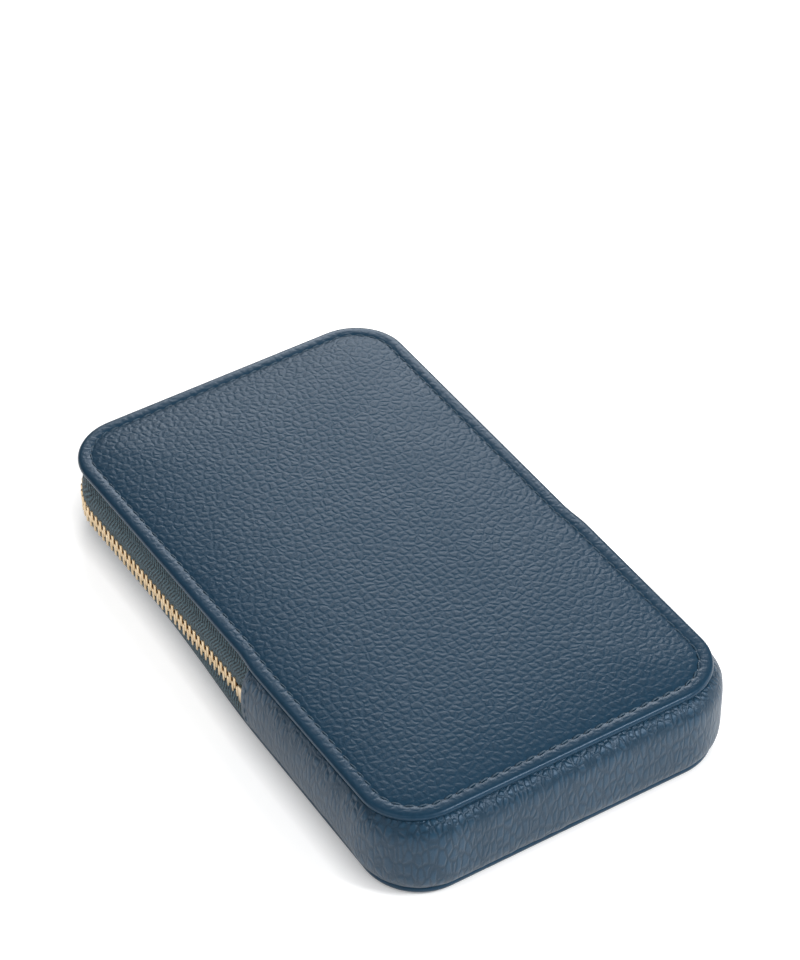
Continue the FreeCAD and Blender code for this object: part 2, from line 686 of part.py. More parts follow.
def slider_bridge():
    """Bridge on the slider's outer plate, which the pull's bar runs under."""
    body = new_body("slider_bridge")
    rise, metal = "sizes.bridge_height", "sizes.bridge_metal"
    half = "sizes.bridge_span / 2"
    bevel = f"({rise} / 2)"
    outer = [(SLIDER_FACE, half), (f"{SLIDER_FACE} + {rise} - {bevel}", half),
             (f"{SLIDER_FACE} + {rise}", f"{half} - {bevel}")]
    inner_bevel = f"({bevel} - {metal} / 2)"
    inner = [(f"{SLIDER_FACE} + {rise} - {metal}", f"{half} - {metal} - {inner_bevel}"),
             (f"{SLIDER_FACE} + {rise} - {metal} - {inner_bevel}", f"{half} - {metal}"),
             (SLIDER_FACE, f"{half} - {metal}")]
    points = [(out, f"{BRIDGE_PLACE} + {along}") for out, along in outer]
    points += [(out, f"{BRIDGE_PLACE} - ({along})") for out, along in reversed(outer)]
    points += [(out, f"{BRIDGE_PLACE} - ({along})") for out, along in reversed(inner)]
    points += [(out, f"{BRIDGE_PLACE} + {along}") for out, along in inner]
    sketch = sketch_on(body, "arch")
    polygon(sketch, points)
    pad(body, sketch, "sizes.bridge_width", both_ways=True)
    set_frame(body, ZIP)
    return body


def pull_tab():
    """Pull: a tapering tab with a window for the bridge and the bar that runs under it."""
    body = new_body("pull_tab")
    face = f"{BAR_HEIGHT} - sizes.pull_thickness / 2"
    free_end = f"{BRIDGE_PLACE} - sizes.pull_length"
    outline = sketch_on(body, "outline", role="YZ_Plane", distance=face)
    polygon(outline, mirrored_outline([
        (BRIDGE_PLACE, "sizes.pull_neck_width / 2"), (free_end, "sizes.pull_width / 2")]))
    tab = pad(body, outline, "sizes.pull_thickness")
    round_edges(body, tab, "sizes.pull_rounding", free_corner)
    window = sketch_on(body, "window", role="YZ_Plane", distance=face)
    side = "(sizes.bridge_width / 2 + sizes.pull_side_clearance)"
    polygon(window, mirrored_outline([
        (f"{BRIDGE_PLACE} + sizes.pull_window", side), (f"{BRIDGE_PLACE} - sizes.pull_window", side)]))
    pocket(body, window)
    bar = sketch_on(body, "bar")
    circle(bar, BAR_HEIGHT, BRIDGE_PLACE, "sizes.pull_bar")
    pad(body, bar, "sizes.pull_neck_width", both_ways=True)
    set_frame(body, ZIP)
    return body


def free_corner(edge):
    """Tell whether an edge is a corner of the pull's free end."""
    end = size(f"{BRIDGE_PLACE} - sizes.pull_length")
    return upright(edge) and abs(edge.BoundBox.YMin - end) < 1e-6


def build():
    """Make every sub-part and return them in a list."""
    parts = [
        panel_leather("back_leather", "back", "whole"),
        panel_padding("back_padding", "back", "whole"),
        panel_board("back_board", "back", "whole"),
        panel_lining("back_lining", "back", "whole"),
    ]
    for stretch in ("lower", "upper"):
        parts.append(panel_leather(f"front_leather_{stretch}", "front", stretch))
        parts.append(panel_padding(f"front_padding_{stretch}", "front", stretch))
        parts.append(panel_board(f"front_board_{stretch}", "front", stretch))
        parts.append(panel_lining(f"front_lining_{stretch}", "front", stretch))
    parts += [gusset_leather(), gusset_stiffener(), gusset_lining()]
    for side in ("back", "front"):
        parts.append(zip_tape(side))
        parts.append(zip_teeth(side))
        parts.append(zip_top_stop(side))
    parts += [zip_bottom_stop(), slider_body(), slider_bridge(), pull_tab()]
    return parts


def write(parts):
    """Check every object, then write each sub-part to its own file."""
    doc.recompute()
    for item in doc.Objects:
        if "Invalid" in item.State or "Error" in item.State:
            raise RuntimeError(f"{item.Name} failed: {item.State}")
    for item in parts:
        if item.Shape.isNull() or not item.Shape.isValid():
            raise RuntimeError(f"{item.Label} has no valid shape")
    os.makedirs("parts", exist_ok=True)
    for item in parts:
        item.Shape.exportStep(os.path.join("parts", f"{item.Label}.step"))


fill_sheet()
write(build())
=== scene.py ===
"""Dressed scene of a zipped leather phone pouch that lies on its back.

Lengths in this file are in millimetres and angles in radians, where nothing else is
said; a point becomes metres where it enters a mesh. X runs across the pouch, Y from the
gusset at the base to the zip at the far end, and Z up from the surface that it lies on.
"""

import logging
import math
from contextlib import contextmanager
from dataclasses import dataclass
from enum import Enum
from typing import Iterable, Iterator, Optional, Sequence

import bmesh
import bpy
from mathutils import Matrix, Vector, noise

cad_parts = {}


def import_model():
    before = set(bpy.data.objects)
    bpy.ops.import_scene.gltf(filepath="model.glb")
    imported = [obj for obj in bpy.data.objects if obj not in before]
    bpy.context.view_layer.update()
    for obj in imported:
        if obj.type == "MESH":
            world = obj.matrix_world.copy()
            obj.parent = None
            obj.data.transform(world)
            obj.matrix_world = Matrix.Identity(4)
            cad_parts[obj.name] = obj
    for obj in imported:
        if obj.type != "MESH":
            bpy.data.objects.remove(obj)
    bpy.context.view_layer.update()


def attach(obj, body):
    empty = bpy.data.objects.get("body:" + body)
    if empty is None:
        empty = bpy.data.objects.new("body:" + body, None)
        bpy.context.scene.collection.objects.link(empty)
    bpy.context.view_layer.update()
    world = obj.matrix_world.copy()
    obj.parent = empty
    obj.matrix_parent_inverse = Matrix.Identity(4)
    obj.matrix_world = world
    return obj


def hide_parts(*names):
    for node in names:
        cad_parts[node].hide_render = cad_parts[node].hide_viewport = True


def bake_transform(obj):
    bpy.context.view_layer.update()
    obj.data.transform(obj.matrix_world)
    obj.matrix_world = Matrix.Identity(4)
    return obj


LOG = logging.getLogger("phone_pouch")
MM = 0.001
MERGE_DISTANCE = 0.001
FLAT_DEGREES = 2
SHARP_DEGREES = 35

Piece = bpy.types.Object
Material = bpy.types.Material
Node = bpy.types.Node
Pair = tuple[float, float]
Triple = tuple[float, float, float]
Profile = Sequence[Pair]
Grid = list[list[Vector]]


class Body(str, Enum):
    """The moving bodies of the pouch."""

    POUCH = "pouch_body"
    FLAP = "front_flap"
    SLIDER = "zip_slider"
    PULL = "zip_pull"


class Slot(str, Enum):
    """The record's material slots."""

    LEATHER = "leather"
    LINING = "lining"
    TAPE = "tape"
    BRASS = "brass"


class Side(Enum):
    """The two halves of the pouch, seen from its zip."""

    FRONT = 1
    BACK = -1

    @property
    def half(self) -> str:
        """Name the half as the names of pieces do."""
        return self.name.lower()


def linear(colour: str) -> tuple[float, float, float, float]:
    """Turn an sRGB hex colour into linear light.

    Args:
        colour: Six hex digits after a hash sign.

    Returns:
        Red, green, blue and a full alpha.
    """
    channels = [int(colour[i:i + 2], 16) / 255 for i in (1, 3, 5)]
    light = [c / 12.92 if c <= 0.04045 else ((c + 0.055) / 1.055) ** 2.4 for c in channels]
    return light[0], light[1], light[2], 1.0


def smooth(start: float, end: float, value: float) -> float:
    """Ease from 0 at start to 1 at end."""
    t = min(max((value - start) / (end - start), 0.0), 1.0)
    return t * t * (3 - 2 * t)


def feed(node: Node, inputs: dict) -> None:
    """Set or link inputs of a node.

    Args:
        node: The node.
        inputs: Socket name or number to a value, to an output, or to a node whose
            first output feeds it.
    """
    for name, value in inputs.items():
        source = value.outputs[0] if isinstance(value, Node) else value
        if isinstance(source, bpy.types.NodeSocket):
            node.id_data.links.new(source, node.inputs[name])
        else:
            node.inputs[name].default_value = source


def add_node(
    tree: bpy.types.NodeTree, kind: str, inputs: Optional[dict] = None, **options: object
) -> Node:
    """Add a node with its settings, values and links.

    Args:
        tree: Node tree of a material.
        kind: Blender's name for the node's type, after its ShaderNode.
        inputs: Values and sources of its sockets, as feed takes them.
        options: Settings of the node itself.

    Returns:
        The new node.
    """
    node = tree.nodes.new(f"ShaderNode{kind}")
    for name, value in options.items():
        setattr(node, name, value)
    feed(node, inputs or {})
    return node


def start_material(name: str, sockets: dict) -> tuple[Material, Node, Node]:
    """Start a material from its shader.

    Args:
        name: What the real material is.
        sockets: Shader socket name to its value all over the surface.

    Returns:
        The material, its shader and its coordinates.
    """
    material = bpy.data.materials.new(name)
    material.use_nodes = True
    shader = material.node_tree.nodes["Principled BSDF"]
    feed(shader, sockets)
    return material, shader, add_node(material.node_tree, "TexCoord")


@dataclass(frozen=True)
class PebbledLeather:
    """Shrunken-grain calf, drum dyed dark teal blue, with a thin satin finish.

    The eye sees soft pebbles of uneven size, drawn mostly by the light along their edges,
    and small shifts of tone across the hide. The creases also take a colour of their own:
    a painted highlight where it is lighter than the face, a painted shade where it is
    darker. Where the leather is turned over an edge it is pressed nearly smooth.
    """

    name: str
    face: str = "#1B374B"
    # A touch lighter than the face: a faint painted highlight along the creases.
    crease: str = "#1F3C51"
    pebble: float = 2.3
    groove: float = 0.36
    wrinkle: float = 1.1
    depth: float = 0.1
    warp: float = 0.7
    gloss: float = 0.28
    gleam: str = "#D2E7FF"
    stretch: Triple = (1.0, 1.0, 1.0)
    flat: bool = True

    def make(self) -> Material:
        """Make the material, its grain worked out from the pebbles' size.

        Returns:
            The material.
        """
        material, shader, place = start_material(
            self.name, {"Specular IOR Level": self.gloss, "Specular Tint": linear(self.gleam)})
        tree = material.node_tree
        edges = {"voronoi_dimensions": "2D" if self.flat else "3D", "feature": "DISTANCE_TO_EDGE"}
        scale = tuple(1 / (self.pebble * MM * along) for along in self.stretch)
        grain = add_node(tree, "Mapping", {"Vector": place.outputs["Object"], "Scale": scale})
        drift = add_node(
            tree, "TexNoise", {"Vector": grain, "Scale": 1.2, "Detail": 3.0, "Roughness": 0.55})
        warped = add_node(
            tree, "VectorMath",
            {0: drift.outputs["Color"], 1: (self.warp, self.warp, self.warp), 2: grain},
            operation="MULTIPLY_ADD")
        creases = add_node(
            tree, "TexVoronoi", {"Vector": warped, "Scale": 1.0, "Randomness": 0.9}, **edges)
        wrinkles = add_node(
            tree, "TexVoronoi", {"Vector": warped, "Scale": self.pebble / self.wrinkle}, **edges)
        pebbles = add_node(
            tree, "MapRange", {"Value": creases, "From Max": self.groove},
            interpolation_type="SMOOTHSTEP")
        fine = add_node(
            tree, "MapRange", {"Value": wrinkles, "From Max": 0.3, "To Max": 0.16},
            interpolation_type="SMOOTHSTEP")
        relief = add_node(tree, "Math", {0: pebbles, 1: fine}, operation="ADD")
        pressed = add_node(tree, "Attribute", attribute_name="grain").outputs["Fac"]
        height = add_node(tree, "Math", {0: relief, 1: pressed}, operation="MULTIPLY")
        bump = add_node(tree, "Bump", {"Height": height, "Strength": 0.75, "Distance": self.depth * MM})
        shade = add_node(tree, "TexNoise", {"Vector": grain, "Scale": 0.15, "Detail": 3.0})
        mottle = add_node(
            tree, "MapRange",
            {"Value": shade, "From Min": 0.3, "From Max": 0.7, "To Min": 0.4, "To Max": 1.0})
        tone = add_node(tree, "Math", {0: pebbles, 1: mottle}, operation="MULTIPLY")
        # Crease colour mixed in by the pebble mask and random mottle: painted highlight along the creases
        # when it is lighter than the face, painted shade when it is darker.
        colour_and_painted_shading = add_node(
            tree, "Mix",
            {"Factor": tone, "A": linear(self.crease), "B": linear(self.face)}, data_type="RGBA")
        polish = add_node(tree, "MapRange", {"Value": shade, "To Min": 0.44, "To Max": 0.34})
        rubbed = add_node(tree, "MapRange", {"Value": pressed, "From Min": 0.1, "To Min": 0.75})
        dullness = add_node(tree, "Math", {0: polish, 1: rubbed}, operation="MULTIPLY")
        feed(shader, {"Base Color": colour_and_painted_shading.outputs["Result"], "Roughness": dullness, "Normal": bump})
        return material


@dataclass(frozen=True)
class TwillTape:
    """Polyester zip tape in herringbone twill, dyed to the leather.

    Fine ribs lean one way near the chain and the other way near the seam, with a
    dry, slightly hairy surface. The ribs are drawn coarser than the yarn to show.
    """

    name: str = "polyester_twill"
    yarn: str = "#5F7A86"
    shadow: str = "#0E191F"
    rib: float = 1.2
    band: float = 3.0
    slope: float = 0.7
    contrast: float = 0.42
    hair: float = 0.5
    depth: float = 0.22

    def make(self) -> Material:
        """Make the material on the tape's own map: along the zip, then across it.

        Returns:
            The material.
        """
        material, shader, place = start_material(
            self.name, {"Roughness": 0.82, "Sheen Weight": 0.15, "Sheen Roughness": 0.5})
        tree = material.node_tree
        axes = add_node(tree, "SeparateXYZ", {0: place.outputs["UV"]})
        lean = add_node(tree, "Math", {0: axes.outputs["Y"], 1: self.band * MM}, operation="PINGPONG")
        run = add_node(
            tree, "Math", {0: lean, 1: self.slope, 2: axes.outputs["X"]}, operation="MULTIPLY_ADD")
        turn = add_node(tree, "Math", {0: run, 1: math.tau / (self.rib * MM)}, operation="MULTIPLY")
        rib = add_node(tree, "Math", {0: turn}, operation="SINE")
        fuzz = add_node(
            tree, "TexNoise",
            {"Vector": place.outputs["Object"], "Scale": 1 / (self.hair * MM), "Detail": 2.0})
        hairs = add_node(
            tree, "MapRange",
            {"Value": fuzz, "From Min": 0.3, "From Max": 0.7, "To Min": 0.05, "To Max": 0.95})
        weave = add_node(tree, "Math", {0: rib, 1: self.contrast, 2: hairs}, operation="MULTIPLY_ADD")
        colour_and_painted_shading = add_node(
            tree, "Mix",
            {"Factor": weave, "A": linear(self.shadow), "B": linear(self.yarn)}, data_type="RGBA")
        bump = add_node(tree, "Bump", {"Height": weave, "Strength": 0.9, "Distance": self.depth * MM})
        feed(shader, {"Base Color": colour_and_painted_shading.outputs["Result"], "Normal": bump})
        return material


@dataclass(frozen=True)
class PolishedBrass:
    """Pale rolled brass, tumbled and lacquered: warm, bright and a little uneven."""

    name: str = "polished_brass"
    bright: str = "#E6D2B2"
    dull: str = "#C4A880"
    blotch: float = 2.5

    def make(self) -> Material:
        """Make the metal, with faint blotches in its colour and polish.

        Returns:
            The material.
        """
        material, shader, place = start_material(self.name, {"Metallic": 1.0})
        tree = material.node_tree
        blotches = add_node(
            tree, "TexNoise",
            {"Vector": place.outputs["Object"], "Scale": 1 / (self.blotch * MM), "Detail": 4.0})
        colour = add_node(
            tree, "Mix",
            {"Factor": blotches, "A": linear(self.dull), "B": linear(self.bright)},
            data_type="RGBA")
        polish = add_node(tree, "MapRange", {"Value": blotches, "To Min": 0.42, "To Max": 0.26})
        feed(shader, {"Base Color": colour.outputs["Result"], "Roughness": polish})
        return material


@dataclass(frozen=True)
class BondedThread:
    """Bonded nylon sewing thread, dyed to the leather, with a dull waxed surface.

    Each stitch is near the leather's colour in its middle, and both its ends, where it
    dives into the leather, fade to a painted shade.
    """

    name: str = "bonded_nylon_thread"
    ply: str = "#3E596D"
    hole: str = "#0C141B"
    twist: float = 0.5

    def make(self) -> Material:
        """Make the thread, its plies drawn as fine streaks.

        Returns:
            The material.
        """
        material, shader, place = start_material(self.name, {"Roughness": 0.55})
        tree = material.node_tree
        plies = add_node(
            tree, "TexNoise",
            {"Vector": place.outputs["Object"], "Scale": 1 / (self.twist * MM), "Detail": 1.0})
        streaks = add_node(
            tree, "MapRange",
            {"Value": plies, "From Min": 0.3, "From Max": 0.7, "To Min": 0.6, "To Max": 1.0})
        # The stitch ends fade to the painted shade of their needle holes.
        above = add_node(tree, "Attribute", attribute_name="above").outputs["Fac"]
        shade = add_node(tree, "Math", {0: above, 1: streaks}, operation="MULTIPLY")
        colour_and_painted_shading = add_node(
            tree, "Mix",
            {"Factor": shade, "A": linear(self.hole), "B": linear(self.ply)}, data_type="RGBA")
        feed(shader, {"Base Color": colour_and_painted_shading.outputs["Result"]})
        return material


@dataclass(frozen=True)
class WovenLining:
    """Plain-weave polyester lining, dark blue, with a faint silky sheen.

    Its yarns are drawn coarser than the real ones, so that the weave shows.
    """

    name: str = "polyester_lining"
    yarn: str = "#2A3947"
    shadow: str = "#18232E"
    spacing: float = 0.8
    depth: float = 0.08

    def make(self) -> Material:
        """Make the cloth from two crossing sets of yarns.

        Returns:
            The material.
        """
        material, shader, place = start_material(self.name, {"Roughness": 0.6, "Sheen Weight": 0.2})
        tree = material.node_tree
        turns = math.tau / (self.spacing * MM)
        phase = add_node(
            tree, "VectorMath", {0: place.outputs["Object"], 1: (turns, turns, turns)},
            operation="MULTIPLY")
        yarns = add_node(tree, "VectorMath", {0: phase}, operation="SINE")
        axes = add_node(tree, "SeparateXYZ", {0: yarns}).outputs
        weave = add_node(tree, "Math", {0: axes["X"], 1: axes["Y"]}, operation="MULTIPLY")
        level = add_node(tree, "MapRange", {"Value": weave, "From Min": -1.0})
        colour_and_painted_shading = add_node(
            tree, "Mix",
            {"Factor": level, "A": linear(self.shadow), "B": linear(self.yarn)}, data_type="RGBA")
        bump = add_node(tree, "Bump", {"Height": level, "Strength": 0.4, "Distance": self.depth * MM})
        feed(shader, {"Base Color": colour_and_painted_shading.outputs["Result"], "Normal": bump})
        return material


@dataclass(frozen=True)
class Level:
    """A plane across the pouch that leans about X: lower towards the zip."""

    height: float
    tilt: float

    def place(self, x: float, y: float, out: float) -> Vector:
        """Place a point, in metres: across the pouch, along the plane and above it."""
        along, rise = math.cos(self.tilt), math.sin(self.tilt)
        return Vector((x, y * along + out * rise, self.height - y * rise + out * along)) * MM

    def direction(self, x: float, y: float, out: float) -> Vector:
        """Turn a direction of the plane into the pouch's frame."""
        return (self.place(x, y, out) - self.place(0, 0, 0)) / MM


@dataclass(frozen=True)
class Foot:
    """A point of an outline, with the outward direction there."""

    x: float
    y: float
    out_x: float
    out_y: float

    def shifted(self, outset: float) -> Pair:
        """Move the point outwards."""
        return self.x + self.out_x * outset, self.y + self.out_y * outset


@dataclass(frozen=True)
class Outline:
    """A rounded rectangle, run through from the right side upwards to the left."""

    half_x: float
    half_y: float
    radius: float

    def inset(self, distance: float, least_radius: float = 2.0) -> "Outline":
        """Give the outline that lies further in."""
        return Outline(
            self.half_x - distance, self.half_y - distance, max(self.radius - distance, least_radius))

    def spans(self) -> list[float]:
        """Measure the sides and corners.

        Returns:
            Their lengths, from the right side on.
        """
        corner = self.radius * math.pi / 2
        long_side = 2 * (self.half_y - self.radius)
        short_side = 2 * (self.half_x - self.radius)
        return [long_side, corner, short_side, corner, long_side, corner, short_side, corner]

    def on_span(self, span: int, share: float) -> Foot:
        """Find a point on one side or corner.

        Args:
            span: Number of the side or corner.
            share: Part of the way along it.

        Returns:
            The point and its outward direction.
        """
        turn = (span // 2) * math.pi / 2
        swap = (span // 2) % 2 == 1
        half_across, half_along = (self.half_y, self.half_x) if swap else (self.half_x, self.half_y)
        flat = half_along - self.radius
        if span % 2 == 0:
            local = (half_across, -flat + 2 * flat * share, 1.0, 0.0)
        else:
            angle = share * math.pi / 2
            out = (math.cos(angle), math.sin(angle))
            local = (half_across - self.radius + self.radius * out[0], flat + self.radius * out[1], *out)
        c, s = round(math.cos(turn)), round(math.sin(turn))
        x, y, u, v = local
        return Foot(c * x - s * y, s * x + c * y, c * u - s * v, s * u + c * v)

    def span_at(self, distance: float) -> tuple[int, float]:
        """Find the side or corner that lies a distance along the outline.

        Args:
            distance: How far, from the lower end of the right side on.

        Returns:
            The number of the span and the part of the way along it.
        """
        spans = self.spans()
        left = distance % sum(spans)
        span = 0
        while left > spans[span] and span < len(spans) - 1:
            left -= spans[span]
            span += 1
        return span, min(left / spans[span], 1.0)

    def at(self, distance: float) -> Foot:
        """Find the point that lies a distance along the outline."""
        return self.on_span(*self.span_at(distance))

    def loop(self, counts: Sequence[int]) -> list[Foot]:
        """Sample the whole outline with a count of steps on each span."""
        return [self.on_span(i, k / n) for i, n in enumerate(counts) for k in range(n)]

    def right_at(self, y: float) -> float:
        """Give the distance along the outline of a height on the right side."""
        return y + self.half_y - self.radius

    def left_at(self, y: float) -> float:
        """Give the distance along the outline of a height on the left side."""
        return sum(self.spans()[:4]) + self.half_y - self.radius - y


@dataclass(frozen=True)
class PouchForm:
    """The sizes that the pieces of the pouch share."""

    panel: Outline = Outline(52.2, 90.0, 16.0)
    front: Level = Level(25.1, math.radians(2.036))
    zip: Level = Level(11.5, math.radians(2.036))
    back: Level = Level(0.5, 0.0)
    rim: float = 2.4
    seam_gap: float = 0.05
    gusset_end: float = -17.0
    fold_start: float = -20.0
    fold_end: float = -4.0
    fold_height: float = 26.8
    stitch_inset: float = 3.9
    stitch_pitch: float = 3.5
    spread: float = 0.8
    drawn_in: float = 1.6
    draw_lead: float = 4.0
    draw_runs: Pair = (7.0, 55.0)
    base_spread: float = 1.9
    base_start: float = -40.0

    def level(self, side: Side) -> Level:
        """Give the plane of a panel's margin."""
        return self.front if side is Side.FRONT else self.back

    def on_panel(self, side: Side, foot: Foot, out: float) -> Vector:
        """Place a point of a panel.

        The panel is eased out where it is sewn to the gusset. The back one stands out
        most at the base, and is drawn in along the zip.

        Args:
            side: Front or back panel.
            foot: The point in the panel's plane.
            out: Distance outwards from the margin's plane.

        Returns:
            The point in metres.
        """
        back = side is Side.BACK
        drawn_by = self.gusset_end + self.draw_runs[back]
        share = smooth(self.gusset_end - self.draw_lead, drawn_by, foot.y)
        zip_side = -self.drawn_in if back else 0.0
        base = self.base_spread * smooth(self.base_start, -self.panel.half_y, foot.y) if back else 0.0
        x = foot.x * (1 + (self.spread * (1 - share) + zip_side * share) / self.panel.half_x)
        y = foot.y * (1 + (base + share * zip_side) / self.panel.half_y)
        return self.level(side).place(x, y, out * side.value)


FORM = PouchForm()


def deselect() -> None:
    """Leave edit mode and deselect every object."""
    if bpy.context.object is not None and bpy.context.object.mode != "OBJECT":
        bpy.ops.object.mode_set(mode="OBJECT")
    bpy.ops.object.select_all(action="DESELECT")


def make_active(piece: Piece) -> None:
    """Select one piece alone and make it the active one.

    Args:
        piece: The piece.
    """
    deselect()
    piece.select_set(True)
    bpy.context.view_layer.objects.active = piece


@contextmanager
def edited(piece: Piece) -> Iterator[None]:
    """Hold a piece in edit mode, with its whole mesh selected at first.

    Args:
        piece: The piece.

    Returns:
        A context, at whose end the piece leaves edit mode.
    """
    make_active(piece)
    bpy.ops.object.mode_set(mode="EDIT")
    bpy.ops.mesh.select_all(action="SELECT")
    yield
    bpy.ops.object.mode_set(mode="OBJECT")


def apply_modifier(piece: Piece, kind: str, **settings: object) -> None:
    """Add a modifier to a piece and apply it.

    Args:
        piece: The piece.
        kind: Blender's name for the modifier's type.
        settings: Settings of the modifier.
    """
    make_active(piece)
    modifier = piece.modifiers.new(kind.lower(), kind)
    for name, value in settings.items():
        setattr(modifier, name, value)
    bpy.ops.object.modifier_apply(modifier=modifier.name)


def smooth_shading(piece: Piece, degrees: float) -> None:
    """Shade a piece smooth, except at edges that are sharper than the angle."""
    make_active(piece)
    bpy.ops.object.shade_smooth_by_angle(angle=math.radians(degrees))


def face_outwards(piece: Piece) -> None:
    """Turn the faces of a closed piece outwards."""
    with edited(piece):
        bpy.ops.mesh.normals_make_consistent(inside=False)


def new_piece(
    name: str, points: Sequence[Vector], faces: Sequence[Sequence[int]], finish: Material
) -> Piece:
    """Make a mesh object.

    Args:
        name: Name of the piece.
        points: Its points, in metres.
        faces: Numbers of each face's points.
        finish: Material of the piece.

    Returns:
        The new object.
    """
    mesh = bpy.data.meshes.new(name)
    mesh.from_pydata([tuple(p) for p in points], [], [tuple(f) for f in faces])
    mesh.validate()
    mesh.materials.append(finish)
    piece = bpy.data.objects.new(name, mesh)
    bpy.context.scene.collection.objects.link(piece)
    return piece


def skin(name: str, rows: Grid, finish: Material, closed: bool = False) -> Piece:
    """Make a surface through rows of points, mapped by real distance.

    Args:
        name: Name of the piece.
        rows: Points of each row, all rows with the same count.
        finish: Material of the piece.
        closed: Whether each row runs round to its own start.

    Returns:
        The new object.
    """
    count = len(rows[0])
    points = [p for row in rows for p in row]
    steps = count if closed else count - 1
    faces = []
    for r in range(len(rows) - 1):
        for i in range(steps):
            j = (i + 1) % count
            faces.append((r * count + i, r * count + j, (r + 1) * count + j, (r + 1) * count + i))
    piece = new_piece(name, points, faces, finish)
    along = [0.0]
    for i in range(1, count):
        along.append(along[-1] + (rows[0][i] - rows[0][i - 1]).length)
    across = [0.0]
    for r in range(1, len(rows)):
        across.append(across[-1] + (rows[r][count // 2] - rows[r - 1][count // 2]).length)
    uv = piece.data.uv_layers.new(name="run")
    for loop in piece.data.loops:
        r, i = divmod(loop.vertex_index, count)
        uv.data[loop.index].uv = (along[i], across[r])
    return piece


def store(piece: Piece, name: str, values: Sequence[float]) -> None:
    """Store a value for each point of a piece, for its material to read."""
    layer = piece.data.attributes.new(name, "FLOAT", "POINT")
    layer.data.foreach_set("value", values)


def close_ring(piece: Piece, first: int, counts: Sequence[int]) -> None:
    """Fill a ring of points with strips from side to side and two end caps.

    Args:
        piece: A piece made of rings of points.
        first: Number of the ring's first point.
        counts: Steps on each span of the ring's outline.
    """
    mesh = bmesh.new()
    mesh.from_mesh(piece.data)
    mesh.verts.ensure_lookup_table()
    ring = [mesh.verts[first + i] for i in range(sum(counts))]
    right = counts[0]
    left_start = sum(counts[:4])
    for i in range(right):
        a, b = ring[i], ring[i + 1]
        c, d = ring[left_start + right - i - 1], ring[left_start + right - i]
        mesh.faces.new((a, b, c, d))
    mesh.faces.new(ring[right:left_start + 1])
    mesh.faces.new(ring[left_start + right:] + ring[:1])
    mesh.to_mesh(piece.data)
    mesh.free()


def copies(name: str, pattern: Piece, places: Iterable[Matrix], finish: Material) -> Piece:
    """Copy a modelled pattern to many places as one piece, and delete the pattern.

    Args:
        name: Name of the piece.
        pattern: The object that is repeated, modelled about the origin.
        places: One matrix for each copy.
        finish: Material of the piece.

    Returns:
        The new object.
    """
    corners = [v.co.copy() for v in pattern.data.vertices]
    polygons = [tuple(p.vertices) for p in pattern.data.polygons]
    points: list[Vector] = []
    faces: list[tuple[int, ...]] = []
    for place in places:
        first = len(points)
        points.extend(place @ co for co in corners)
        faces.extend(tuple(first + i for i in polygon) for polygon in polygons)
    bpy.data.objects.remove(pattern)
    return new_piece(name, points, faces, finish)


def axes_at(origin: Vector, along: Vector, out: Vector) -> Matrix:
    """Make the matrix of a local frame: X along, Z outwards.

    Args:
        origin: Place of the frame, in metres.
        along: Direction of its X axis.
        out: Direction of its Z axis, near enough.

    Returns:
        The frame's matrix.
    """
    x = along.normalized()
    z = (out - x * out.dot(x)).normalized()
    y = z.cross(x)
    matrix = Matrix((x, y, z)).transposed().to_4x4()
    matrix.translation = origin
    return matrix


def across_fold(piece: Piece) -> None:
    """Bake a piece's transform into its mesh; nothing makes it bend with the front.

    Args:
        piece: The piece.
    """
    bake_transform(piece)


def bevelled_copy(node: str, name: str, width: float, finish: Material) -> Piece:
    """Copy a rigid node's mesh, merge it and soften its edges.

    Args:
        node: Name of the node.
        name: Name of the new piece.
        width: Width of the bevel.
        finish: Material of the piece.

    Returns:
        The new object.
    """
    source = bpy.data.objects[node]
    piece = bpy.data.objects.new(name, source.data.copy())
    bpy.context.scene.collection.objects.link(piece)
    piece.data.materials.clear()
    piece.data.materials.append(finish)
    with edited(piece):
        bpy.ops.mesh.remove_doubles(threshold=MERGE_DISTANCE * MM)
        bpy.ops.mesh.dissolve_limited(angle_limit=math.radians(FLAT_DEGREES))
    apply_modifier(
        piece, "BEVEL", width=width * MM, segments=2, limit_method="ANGLE",
        angle_limit=math.radians(SHARP_DEGREES))
    smooth_shading(piece, degrees=40)
    return piece


